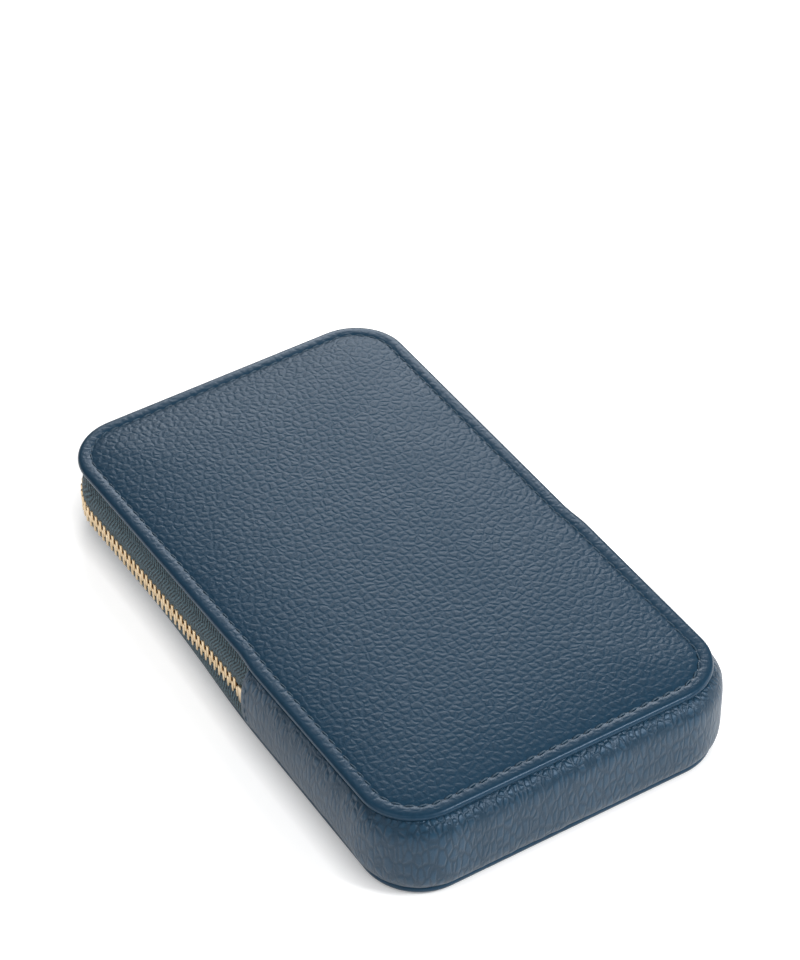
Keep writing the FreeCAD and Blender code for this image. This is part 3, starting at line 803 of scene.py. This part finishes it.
@dataclass
class Panel:
    """One padded leather panel: turned rim, stitched margin and crown over thin foam."""

    side: Side
    crown: float
    finish: Material
    counts: tuple[int, ...] = (212, 24, 104, 24, 212, 24, 104, 24)
    innermost: float = 46.0
    upper_from: float = -0.5
    margin_level: float = 0.03
    pucker: float = 0.14
    pucker_width: float = 0.7
    base_pucker: float = 1.2
    base_run: Pair = (-70.0, -88.0)
    edge_lift: float = 0.14
    lift_full: float = 1.2
    lift_way: Pair = (0.53, 0.85)
    lift_turn: Pair = (-0.6, 0.4)
    grain_shares: Triple = (0.1, 0.4, 0.5)
    grain_margin: Pair = (0.6, 2.2)
    grain_full: float = 5.2

    def profile(self) -> Profile:
        """List the section from under the panel, round the rim and over the crown.

        Returns:
            Inset from the panel's edge and height over its margin, row by row.
        """
        under = [(inset, -FORM.rim) for inset in (self.innermost, 30, 18, 10, 5, 2.2, 1.1)]
        roll = [(0.55, -2.2), (0.2, -1.85), (0.02, -1.4), (0.0, -1.0)]
        roll += [(0.1, -0.6), (0.34, -0.28), (0.7, -0.08), (1.15, 0.0)]
        seam = [(1.8, 0.02), (2.5, 0.03), (3.1, 0.03), (3.5, -0.02)]
        seam += [(3.75, -0.08), (3.9, -0.1), (4.1, -0.06)]
        rise = [(4.4, 0.01), (4.9, 0.05), (5.6, 0.12), (6.6, 0.2), (8.0, 0.31), (10, 0.44)]
        rise += [(12.5, 0.57), (15.5, 0.7), (19, 0.81), (22, 0.88), (26, 0.94), (30, 0.98)]
        rise += [(35, 1.0), (40, 1.0), (self.innermost, 1.0)]
        over = [(d, n * self.crown if n > self.margin_level else n) for d, n in rise]
        return under + roll + seam + over

    def lifted(self, inset: float, foot: Foot) -> float:
        """Raise the rim against the seam on the far and right sides.

        Args:
            inset: Distance in from the panel's edge.
            foot: The point in the panel's plane.

        Returns:
            The rise.
        """
        facing = self.lift_way[0] * foot.out_x + self.lift_way[1] * foot.out_y
        far_right = smooth(*self.lift_turn, facing)
        return self.edge_lift * smooth(FORM.stitch_inset, self.lift_full, inset) * far_right

    def puckered(self, inset: float, foot: Foot, run: float) -> float:
        """Draw the leather down at each stitch, most at the base.

        Args:
            inset: Distance in from the panel's edge.
            foot: The point in the panel's plane.
            run: Distance along the seam.

        Returns:
            The rise, which is negative.
        """
        near = math.exp(-((inset - FORM.stitch_inset) / self.pucker_width) ** 2)
        wave = 0.5 + 0.5 * math.cos(math.tau * run / FORM.stitch_pitch)
        base = 1 + self.base_pucker * smooth(*self.base_run, foot.y)
        return -self.pucker * near * wave * base

    def grain_left(self, inset: float, over: bool) -> float:
        """Give the part of the grain that shows: little on the pressed rim.

        Args:
            inset: Distance in from the panel's edge.
            over: Whether the point lies on the panel's outer face.

        Returns:
            The part, from 0 to 1.
        """
        pressed, margin, middle = self.grain_shares
        if not over:
            return pressed
        shown = pressed + margin * smooth(*self.grain_margin, inset)
        return shown + middle * smooth(FORM.stitch_inset, self.grain_full, inset)

    def build(self) -> Piece:
        """Model the panel as one closed skin.

        Returns:
            The new object.
        """
        seam = FORM.panel.inset(FORM.stitch_inset).loop(self.counts)
        run = [0.0]
        for a, b in zip(seam, seam[1:]):
            run.append(run[-1] + math.hypot(b.x - a.x, b.y - a.y))
        rows: Grid = []
        grain: list[float] = []
        for inset, out in self.profile():
            over = out > self.upper_from
            feet = FORM.panel.inset(inset).loop(self.counts)
            heights = [
                out + (self.puckered(inset, f, s) + self.lifted(inset, f)) * over
                for f, s in zip(feet, run)]
            rows.append([FORM.on_panel(self.side, f, n) for f, n in zip(feet, heights)])
            grain += [self.grain_left(inset, over)] * len(feet)
        piece = skin(f"{self.side.half}_panel", rows, self.finish, closed=True)
        store(piece, "grain", grain)
        close_ring(piece, 0, self.counts)
        close_ring(piece, (len(rows) - 1) * len(seam), self.counts)
        face_outwards(piece)
        smooth_shading(piece, degrees=60)
        return piece

    def dress(self) -> list[Piece]:
        """Build the panel; the back one is seated on the pouch.

        Returns:
            The panel.
        """
        piece = self.build()
        if self.side is Side.FRONT:
            hidden = [f"front_{layer}_{part}" for layer in ("leather", "padding", "board")
                      for part in ("lower", "upper")]
            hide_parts(*hidden)
            across_fold(piece)
        else:
            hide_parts("back_leather", "back_padding", "back_board")
            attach(piece, Body.POUCH.value)
        return [piece]


@dataclass
class PanelLining:
    """Cloth behind one panel's board."""

    side: Side
    finish: Material
    insets: tuple[float, ...] = (4.8, 6.0, 9.0, 14.0, 20.0, 28.0, 36.0, 44.0)
    thickness: float = 0.3
    drop: float = 0.06
    counts: tuple[int, ...] = (60, 8, 30, 8, 60, 8, 30, 8)

    def dress(self) -> list[Piece]:
        """Lay the cloth behind its panel; the back one is seated on the pouch.

        Returns:
            The cloth.
        """
        level = FORM.level(self.side)
        depth = -(FORM.rim + self.drop + self.thickness)
        rows = [
            [level.place(f.x, f.y, depth * self.side.value)
             for f in FORM.panel.inset(inset).loop(self.counts)]
            for inset in self.insets]
        piece = skin(f"{self.side.half}_cloth", rows, self.finish, closed=True)
        close_ring(piece, (len(rows) - 1) * len(rows[0]), self.counts)
        apply_modifier(piece, "SOLIDIFY", thickness=self.thickness * MM, offset=-float(self.side.value))
        face_outwards(piece)
        smooth_shading(piece, degrees=40)
        outline = FORM.panel.inset(self.insets[0])
        if self.side is Side.FRONT:
            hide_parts("front_lining_lower", "front_lining_upper")
            across_fold(piece)
        else:
            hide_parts("back_lining")
            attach(piece, Body.POUCH.value)
        return [piece]


@dataclass(frozen=True)
class Crease:
    """One set of soft creases in the wall."""

    strength: float
    length: float
    turns: float
    layer: float


@dataclass
class Gusset:
    """The bulging leather wall round the base, with its turned ends and its lining."""

    leather: Material
    lining: Material
    step: float = 0.9
    bulge: float = 3.0
    end_bulge: float = 2.8
    swell_run: float = 45.0
    hem: float = 5.0
    hem_radius: float = 0.55
    hem_lead: float = 1.2
    hem_turns: tuple[float, ...] = (90, 60, 30, 0, -30, -60)
    wall: float = 0.5
    crease: float = 0.2
    creases: tuple[Crease, ...] = (Crease(1.0, 3.1, 1.6, 0.0), Crease(0.6, 1.5, 2.4, 7.0))
    calm: float = 0.35
    crease_fade: float = 0.3
    tuck: float = 2.6
    side_start: float = 0.3
    base_starts: Pair = (-0.4, 1.3)
    side_round: float = 2.6
    base_round: float = 4.4
    corner_start: float = 50.0
    corner_run: float = 30.0
    shoulder: float = 0.09
    shoulder_width: float = 0.08
    shoulder_grain: float = 0.5
    heights: tuple[float, ...] = (
        0.0, 0.012, 0.03, 0.06, 0.1, 0.15, 0.21, 0.28, 0.36, 0.43,
        0.5, 0.57, 0.64, 0.72, 0.79, 0.85, 0.9, 0.94, 0.97, 0.988, 1.0)
    cloth_step: float = 2.7
    cloth_inset: float = 3.4
    cloth_bulge: float = 1.4
    cloth_round: float = 2.5
    cloth_thickness: float = 0.3
    cloth_heights: tuple[float, ...] = (0.02, 0.1, 0.25, 0.4, 0.5, 0.6, 0.75, 0.9, 0.98)

    def runs(self) -> Pair:
        """Find the ends of the wall.

        Returns:
            The distances along the outline of its left and right end.
        """
        outline = FORM.panel
        start = outline.left_at(FORM.gusset_end)
        return start, sum(outline.spans()) + outline.right_at(FORM.gusset_end)

    def outset(self, share: float, run: float) -> float:
        """Give how far the wall stands outside the panels' edge.

        The sides swell gently from the rims, and the base has square shoulders.

        Args:
            share: Part of the way from the front seam to the back seam.
            run: Distance along the outline.

        Returns:
            The outset.
        """
        wall_start, wall_end = self.runs()
        length = wall_end - wall_start
        along = min(max(run - wall_start, 0.0), length)
        from_end = min(along, length - along)
        fullness = self.end_bulge + (self.bulge - self.end_bulge) * smooth(0, self.swell_run, from_end)
        base = smooth(self.corner_start, self.corner_start + self.corner_run, from_end)
        base_start = self.base_starts[0] if share < 0.5 else self.base_starts[1]
        start = self.side_start + (base_start - self.side_start) * base
        from_middle = abs(2 * share - 1)
        round_off = 1 - from_middle ** (self.side_round + self.base_round * base)
        folds = sum(
            c.strength * noise.noise(Vector((along / c.length, share * c.turns, c.layer)))
            for c in self.creases)
        settle = self.calm + (1 - self.calm) * from_middle
        soft = self.crease * folds * settle * round_off ** self.crease_fade
        return start + (fullness - start) * round_off + soft

    def point(self, foot: Foot, share: float, outset: float) -> Vector:
        """Place a point of the wall between the panels' rims.

        Args:
            foot: The point of the outline inside it.
            share: Part of the way from the front seam to the back seam.
            outset: How far it stands outside the outline.

        Returns:
            The point in metres.
        """
        x, y = foot.shifted(outset)
        top = FORM.front.place(x, y, -FORM.rim + FORM.seam_gap)
        bottom = FORM.back.place(x, y, FORM.rim - FORM.seam_gap)
        return top.lerp(bottom, share)

    def column(self, run: float, inwards: float) -> list[Vector]:
        """List one column of the wall, from the front seam allowance to the back one.

        Args:
            run: Distance along the outline.
            inwards: How far it is moved in.

        Returns:
            The points of the column.
        """
        foot = FORM.panel.at(run)
        wall = [self.point(foot, h, self.outset(h, run) - inwards) for h in self.heights]
        top = self.point(foot, 0.0, -self.tuck - inwards)
        bottom = self.point(foot, 1.0, -self.tuck - inwards)
        return [top, *wall, bottom]

    def turned_end(self, end: float, inside: float) -> Grid:
        """List the columns of an end that is folded inwards and runs back as a hem.

        Args:
            end: Distance along the outline of the folded edge.
            inside: 1 where the wall goes on to larger distances, else -1.

        Returns:
            Columns from the hem's inner end to the fold's start.
        """
        r = self.hem_radius
        columns = [self.column(end + inside * lead, 2 * r) for lead in (self.hem, r + self.hem_lead)]
        for angle in self.hem_turns:
            turn = math.radians(angle)
            run = end + inside * r * (1 - math.cos(turn))
            columns.append(self.column(run, r * (1 + math.sin(turn))))
        return columns

    def grain_left(self, share: float) -> float:
        """Give the strength of the grain: coarse on the shoulder, drawn fine below it."""
        return 1.0 + self.shoulder_grain * math.exp(-((share - self.shoulder) / self.shoulder_width) ** 2)

    def build_leather(self) -> Piece:
        """Model the wall with both turned ends as one leather sheet.

        Returns:
            The new object.
        """
        start, end = self.runs()
        inner = end - start - 2 * self.hem_radius
        steps = round(inner / self.step)
        columns = self.turned_end(start, 1)
        for i in range(steps + 1):
            columns.append(self.column(start + self.hem_radius + inner * i / steps, 0.0))
        columns += reversed(self.turned_end(end, -1))
        piece = skin("gusset_wall", columns, self.leather)
        shares = (0.0, *self.heights, 1.0)
        store(piece, "grain", [self.grain_left(share) for _ in columns for share in shares])
        apply_modifier(piece, "SOLIDIFY", thickness=self.wall * MM, offset=1.0)
        face_outwards(piece)
        smooth_shading(piece, degrees=70)
        return piece

    def build_lining(self) -> Piece:
        """Model the cloth inside the wall.

        Returns:
            The new object.
        """
        start, end = self.runs()
        steps = round((end - start) / self.cloth_step)
        bulges = [self.cloth_bulge * (1 - abs(2 * h - 1) ** self.cloth_round) for h in self.cloth_heights]
        columns = []
        for i in range(steps + 1):
            foot = FORM.panel.at(start + (end - start) * i / steps)
            columns.append([
                self.point(foot, h, -self.cloth_inset + bulge)
                for h, bulge in zip(self.cloth_heights, bulges)])
        piece = skin("gusset_cloth", columns, self.lining)
        apply_modifier(piece, "SOLIDIFY", thickness=self.cloth_thickness * MM, offset=1.0)
        face_outwards(piece)
        smooth_shading(piece, degrees=50)
        return piece

    def dress(self) -> list[Piece]:
        """Build the wall and its lining, and seat them on the pouch.

        Returns:
            The wall and its lining.
        """
        leather = self.build_leather()
        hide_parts("gusset_leather", "gusset_stiffener")
        lining = self.build_lining()
        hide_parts("gusset_lining")
        for piece in (leather, lining):
            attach(piece, Body.POUCH.value)
        return [leather, lining]


@dataclass
class Zip:
    """The zip round the far end: two tapes, two rows of teeth and the bottom stop."""

    tape: Material
    brass: Material
    chain: Outline = Outline(52.7, 90.5, 21.0)
    tape_end: float = -26.0
    step: float = 1.2
    tape_rows: int = 8
    seam_insets: Pair = (3.4, 0.6)
    bow: float = 1.5
    bow_run: float = 60.0
    allowance: float = 4.7
    tape_outset: float = 0.35
    tape_edge: float = 1.9
    tape_curl: int = 3
    tape_thickness: float = 0.5
    tooth_pitch: float = 2.4
    tooth_shifts: Pair = (0.25, 0.75)
    tooth_length: float = 1.0
    tooth_reach: float = 0.9
    tooth_neck: float = 0.4
    tooth_head: float = 0.7
    tooth_foot: float = 3.2
    tooth_depth: float = 1.6
    teeth_end: float = -12.4
    bevel: float = 0.25

    def runs(self, y: float) -> Pair:
        """Give where the chain passes a height, on the right and on the left."""
        return self.chain.right_at(y), self.chain.left_at(y)

    def sewn_point(self, run: float, side: Side, inset: float) -> Vector:
        """Place a point of a tape under its panel."""
        foot = FORM.panel.inset(inset).on_span(*self.chain.span_at(run))
        return FORM.on_panel(side, foot, -FORM.rim - FORM.seam_gap)

    def tape_point(self, run: float, side: Side, share: float) -> Vector:
        """Place a point of a tape; the back one bows out near the gusset.

        Args:
            run: Distance along the chain.
            side: Front or back half.
            share: Part of the way from the seam to the chain.

        Returns:
            The point in metres.
        """
        seam_inset = self.seam_insets[side is Side.BACK]
        top = self.sewn_point(run, side, seam_inset)
        edge = self.chain.at(run)
        low = FORM.zip.place(*edge.shifted(self.tape_outset), side.value * self.tape_edge)
        point = top.lerp(low, 1 - (1 - share) ** self.tape_curl)
        point.z = top.z + (low.z - top.z) * share
        if side is Side.BACK:
            seam = FORM.panel.inset(seam_inset).on_span(*self.chain.span_at(run))
            slack = 1 - smooth(0, self.bow_run, seam.y - FORM.gusset_end)
            bow = self.bow * slack * math.sin(math.pi * share)
            point += Vector((edge.out_x, edge.out_y, 0)) * bow * MM
        return point

    def build_tape(self, side: Side) -> Piece:
        """Model one half of the tape as a sheet that is sewn under its panel.

        Args:
            side: Front or back half.

        Returns:
            The new object.
        """
        start, end = self.runs(self.tape_end)
        steps = round((end - start) / self.step)
        runs = [start + (end - start) * i / steps for i in range(steps + 1)]
        rows = [[self.sewn_point(run, side, self.allowance) for run in runs]]
        for i in range(self.tape_rows + 1):
            rows.append([self.tape_point(run, side, i / self.tape_rows) for run in runs])
        piece = skin(f"tape_{side.half}", rows, self.tape)
        apply_modifier(piece, "SOLIDIFY", thickness=self.tape_thickness * MM, offset=float(side.value))
        smooth_shading(piece, degrees=50)
        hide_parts(f"zip_tape_{side.half}")
        return piece

    def tooth(self) -> Piece:
        """Model one tooth: a bar with a rounded head and a foot pressed on the tape.

        Returns:
            The tooth, about the origin.
        """
        deselect()
        bpy.ops.mesh.primitive_cube_add(size=1.0)
        tooth = bpy.context.object
        long_way = self.tooth_foot + self.tooth_reach
        neck = self.tooth_neck * self.tooth_reach
        with edited(tooth):
            bpy.ops.transform.resize(
                value=(self.tooth_length * MM, long_way * MM, self.tooth_depth * MM))
            bpy.ops.transform.translate(value=(0, (long_way / 2 - self.tooth_reach) * MM, 0))
            bpy.ops.mesh.bisect(plane_co=(0, neck * MM, 0), plane_no=(0, 1, 0))
        for vertex in tooth.data.vertices:
            if vertex.co.y < 0:
                vertex.co.x *= self.tooth_head
        apply_modifier(tooth, "BEVEL", width=self.bevel * MM, segments=2, limit_method="ANGLE")
        return tooth

    def tooth_places(self, side: Side) -> list[Matrix]:
        """List the place of each tooth of a row, in step with the other row.

        Args:
            side: Front or back half.

        Returns:
            One matrix for each tooth.
        """
        start, end = self.runs(self.teeth_end)
        shift = self.tooth_shifts[side is Side.BACK]
        places = []
        for i in range(int((end - start) / self.tooth_pitch)):
            foot = self.chain.at(start + (i + shift) * self.tooth_pitch)
            origin = FORM.zip.place(foot.x, foot.y, 0)
            along = FORM.zip.direction(-foot.out_y, foot.out_x, 0) * side.value
            out = FORM.zip.direction(foot.out_x, foot.out_y, 0)
            places.append(axes_at(origin, along, out))
        return places

    def build_teeth(self, side: Side) -> Piece:
        """Set one row of teeth along its tape.

        Args:
            side: Front or back half.

        Returns:
            The new object.
        """
        piece = copies(f"teeth_{side.half}", self.tooth(), self.tooth_places(side), self.brass)
        smooth_shading(piece, degrees=50)
        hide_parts(f"zip_teeth_{side.half}")
        return piece

    def dress(self) -> list[Piece]:
        """Build the zip; its back half and the stop are seated on the pouch.

        Returns:
            Tapes, teeth and stop.
        """
        front = [self.build_tape(Side.FRONT), self.build_teeth(Side.FRONT)]
        back = [self.build_tape(Side.BACK), self.build_teeth(Side.BACK)]
        stop = bevelled_copy("zip_bottom_stop", "bottom_stop", self.bevel, self.brass)
        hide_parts("zip_bottom_stop")
        for piece in front:
            across_fold(piece)
        for piece in [*back, stop]:
            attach(piece, Body.POUCH.value)
        return [*front, *back, stop]


@dataclass
class Slider:
    """The slider on the right side, its bridge and its pull, and the top stops."""

    brass: Material
    slider_bevel: float = 0.3
    pull_bevel: float = 0.25
    stop_bevel: float = 0.2

    def dress(self) -> list[Piece]:
        """Soften the rigid parts' edges and seat them on their bodies.

        Returns:
            The pieces.
        """
        parts = [
            ("slider_body", "slider_shell", self.slider_bevel, Body.SLIDER),
            ("slider_bridge", "slider_loop", self.slider_bevel, Body.SLIDER),
            ("pull_tab", "pull_leaf", self.pull_bevel, Body.PULL),
            ("zip_top_stop_front", "top_stop_front", self.stop_bevel, Body.POUCH),
            ("zip_top_stop_back", "top_stop_back", self.stop_bevel, Body.POUCH),
        ]
        pieces = []
        for node, name, width, body in parts:
            piece = bevelled_copy(node, name, width, self.brass)
            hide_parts(node)
            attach(piece, body.value)
            pieces.append(piece)
        return pieces


@dataclass
class Stitching:
    """Rows of thread: one round each panel and one across each gusset end."""

    thread: Material
    gauge: float = 0.44
    stitch: float = 2.9
    sides: int = 8
    cuts: tuple[float, ...] = (-0.36, -0.2, 0.0, 0.2, 0.36)
    dive: Pair = (0.45, 1.0)
    # Span of each stitch's ends, as parts of its half length, over which its painted shade comes in.
    dark: Pair = (0.68, 0.96)
    sink: float = 0.35
    bed: float = -0.05
    clear: float = 0.48
    slant: float = math.radians(7)
    end_distance: float = 2.0
    end_stitches: int = 6
    ahead: float = 0.02

    def pattern(self) -> Piece:
        """Model one stitch: a short thread whose ends dive into the leather.

        Returns:
            The stitch, about the origin.
        """
        deselect()
        bpy.ops.mesh.primitive_cylinder_add(
            vertices=self.sides, radius=self.gauge / 2 * MM, depth=self.stitch * MM,
            rotation=(0, math.pi / 2, 0))
        stitch = bpy.context.object
        bpy.ops.object.transform_apply(location=False, rotation=True, scale=False)
        with edited(stitch):
            for share in self.cuts:
                bpy.ops.mesh.select_all(action="SELECT")
                bpy.ops.mesh.bisect(plane_co=(share * self.stitch * MM, 0, 0), plane_no=(1, 0, 0))
        half = self.stitch / 2 * MM
        for vertex in stitch.data.vertices:
            vertex.co.z -= self.sink * MM * smooth(*self.dive, abs(vertex.co.x) / half)
        return stitch

    def panel_places(self, side: Side) -> list[Matrix]:
        """List the stitches round one panel, between the holes.

        Args:
            side: Front or back panel.

        Returns:
            One matrix for each stitch.
        """
        outline = FORM.panel.inset(FORM.stitch_inset)
        level = FORM.level(side)
        lean = Matrix.Rotation(self.slant, 4, "Z")
        length = sum(outline.spans())
        count = round(length / FORM.stitch_pitch)
        places = []
        for i in range(count):
            foot = outline.at((i + 0.5) * length / count)
            origin = FORM.on_panel(side, foot, self.bed)
            along = level.direction(-foot.out_y, foot.out_x, 0)
            places.append(axes_at(origin, along, level.direction(0, 0, side.value)) @ lean)
        return places

    def gusset_places(self, gusset: Gusset) -> list[Matrix]:
        """List the stitches across the two turned ends of the gusset.

        Args:
            gusset: The wall that they are sewn through.

        Returns:
            One matrix for each stitch.
        """
        start, end = gusset.runs()
        places = []
        for run in (start + self.end_distance, end - self.end_distance):
            foot = FORM.panel.at(run)
            out = Vector((foot.out_x, foot.out_y, 0))
            for i in range(self.end_stitches):
                share = (i + 0.5) / self.end_stitches
                here, ahead = (
                    gusset.point(foot, s, gusset.outset(s, run) + self.clear)
                    for s in (share, share + self.ahead))
                places.append(axes_at(here, ahead - here, out))
        return places

    def row(self, name: str, places: list[Matrix]) -> Piece:
        """Sew one row, with painted shade where its stitches dive into the leather.

        Args:
            name: Name of the piece.
            places: One matrix for each stitch.

        Returns:
            The new object.
        """
        pattern = self.pattern()
        half = self.stitch / 2 * MM
        # Mask of the thread above the leather: 0 at the stitch ends, where the painted shade goes.
        above = [1 - smooth(*self.dark, abs(v.co.x) / half) for v in pattern.data.vertices]
        piece = copies(name, pattern, places, self.thread)
        store(piece, "above", above * len(places))
        smooth_shading(piece, degrees=60)
        return piece

    def dress(self, gusset: Gusset) -> list[Piece]:
        """Sew the rows of stitches.

        Args:
            gusset: The wall that the short rows are sewn through.

        Returns:
            The rows.
        """
        front = self.row("front_stitches", self.panel_places(Side.FRONT))
        back = self.row("back_stitches", self.panel_places(Side.BACK))
        ends = self.row("gusset_stitches", self.gusset_places(gusset))
        across_fold(front)
        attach(back, Body.POUCH.value)
        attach(ends, Body.POUCH.value)
        return [front, back, ends]


@dataclass(frozen=True)
class Lamp:
    """A square soft lamp that faces the pouch, in metres and watts."""

    name: str
    place: Triple
    size: float
    power: float


@dataclass
class Studio:
    """Pale floor, soft lamps round the pouch and the camera."""

    camera_place: Triple = (-381.1, -614.4, 727.7)
    aim: Triple = (33.5, 45.1, 0.0)
    lens: float = 139.39
    sensor: float = 36.0
    nearest: float = 10.0
    floor_metres: float = 14.0
    paper: str = "#F4F4F4"
    white: str = "#FFFFFF"
    floor_glow: float = 0.63
    contact_shadow: float = 7.5
    shadow_samples: int = 16
    surround: float = 0.2
    lamps: tuple[Lamp, ...] = (
        Lamp("sheen", (0.62, 0.98, 0.62), 0.5, 6.4),
        Lamp("front", (0.35, -1.0, 0.85), 1.2, 6.2),
        Lamp("left", (-1.1, -0.3, 0.8), 1.2, 5.5),
        Lamp("glint", (0.45, -0.7, 0.85), 0.22, 6.0),
        Lamp("right", (1.2, -0.5, 0.3), 0.6, 2.8),
    )

    def paper_material(self) -> Material:
        """Make matt white paper that glows to the eye; beside the pouch the glow is dimmed into a painted
        contact shadow.

        The glow is there for rays from the camera and in mirror images alone, so
        that it doesn't light the pouch from below.

        Returns:
            The material.
        """
        material = bpy.data.materials.new("white_paper")
        material.use_nodes = True
        tree = material.node_tree
        tree.nodes.clear()
        paper = add_node(tree, "BsdfDiffuse", {"Color": linear(self.paper)})
        # Ambient occlusion dims the glow near the pouch: a painted contact shadow.
        painted_contact_shadow = add_node(
            tree, "AmbientOcclusion", {"Distance": self.contact_shadow * MM},
            samples=self.shadow_samples)
        strength = add_node(
            tree, "Math", {0: painted_contact_shadow.outputs["AO"], 1: self.floor_glow}, operation="MULTIPLY")
        glow = add_node(tree, "Emission", {"Color": linear(self.white), "Strength": strength})
        seen = add_node(tree, "AddShader", {0: paper, 1: glow})
        ray = add_node(tree, "LightPath").outputs
        direct = add_node(
            tree, "Math", {0: ray["Is Camera Ray"], 1: ray["Is Glossy Ray"]}, operation="MAXIMUM")
        any_seen = add_node(
            tree, "Math", {0: direct, 1: ray["Is Transmission Ray"]}, operation="MAXIMUM")
        mixed = add_node(tree, "MixShader", {0: any_seen, 1: paper, 2: seen})
        add_node(tree, "OutputMaterial", {"Surface": mixed})
        return material

    def floor(self) -> None:
        """Lay the floor, white to the eye, with the pouch's cast shadow on the paper and a painted
        contact shadow beside it.
        """
        deselect()
        bpy.ops.mesh.primitive_plane_add(size=self.floor_metres)
        floor = bpy.context.object
        floor.name = "studio_floor"
        floor.data.materials.append(self.paper_material())

    def light(self) -> None:
        """Set the soft lamps and an even white surrounding."""
        for lamp in self.lamps:
            light = bpy.data.lights.new(lamp.name, "AREA")
            light.size = lamp.size
            light.energy = lamp.power
            holder = bpy.data.objects.new(lamp.name, light)
            holder.location = lamp.place
            holder.rotation_euler = (-Vector(lamp.place)).to_track_quat("-Z", "Y").to_euler()
            bpy.context.scene.collection.objects.link(holder)
        world = bpy.data.worlds.new("white_room")
        world.use_nodes = True
        background = world.node_tree.nodes["Background"]
        feed(background, {"Color": linear(self.white), "Strength": self.surround})
        bpy.context.scene.world = world

    def camera(self) -> None:
        """Stand the camera where the photograph was taken from."""
        lens = bpy.data.cameras.new("camera")
        lens.sensor_fit = "VERTICAL"
        lens.sensor_height = self.sensor
        lens.lens = self.lens
        lens.clip_start = self.nearest * MM
        holder = bpy.data.objects.new("camera", lens)
        holder.location = Vector(self.camera_place) * MM
        gaze = (Vector(self.aim) - Vector(self.camera_place)) * MM
        holder.rotation_euler = gaze.to_track_quat("-Z", "Y").to_euler()
        bpy.context.scene.collection.objects.link(holder)
        bpy.context.scene.camera = holder

    def set_up(self) -> None:
        """Set up floor, light, camera and the plain view of colours."""
        self.floor()
        self.light()
        self.camera()
        bpy.context.scene.view_settings.view_transform = "Standard"


def main() -> None:
    """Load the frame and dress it."""
    logging.basicConfig(level=logging.INFO)
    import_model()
    leather = PebbledLeather("pebbled_calf").make()
    # The wall's crease colour is darker than its face: painted shade in the creases.
    wall_leather = PebbledLeather(
        "pebbled_calf_stretched", face="#1C3F56", crease="#122E40", pebble=1.8, groove=0.3,
        stretch=(1.0, 1.0, 2.8), depth=0.15, warp=0.5, gloss=0.46, flat=False).make()
    tape = TwillTape().make()
    brass = PolishedBrass().make()
    thread = BondedThread().make()
    lining = WovenLining().make()
    gusset = Gusset(wall_leather, lining)
    pieces = Panel(Side.FRONT, crown=1.2, finish=leather).dress()
    pieces += Panel(Side.BACK, crown=0.5, finish=leather).dress()
    pieces += PanelLining(Side.FRONT, lining).dress()
    pieces += PanelLining(Side.BACK, lining).dress()
    pieces += gusset.dress()
    pieces += Zip(tape, brass).dress()
    pieces += Slider(brass).dress()
    pieces += Stitching(thread).dress(gusset)
    for piece in pieces:
        LOG.info("%s: %d faces", piece.name, len(piece.data.polygons))
    Studio().set_up()


if __name__ == "__main__":
    main()
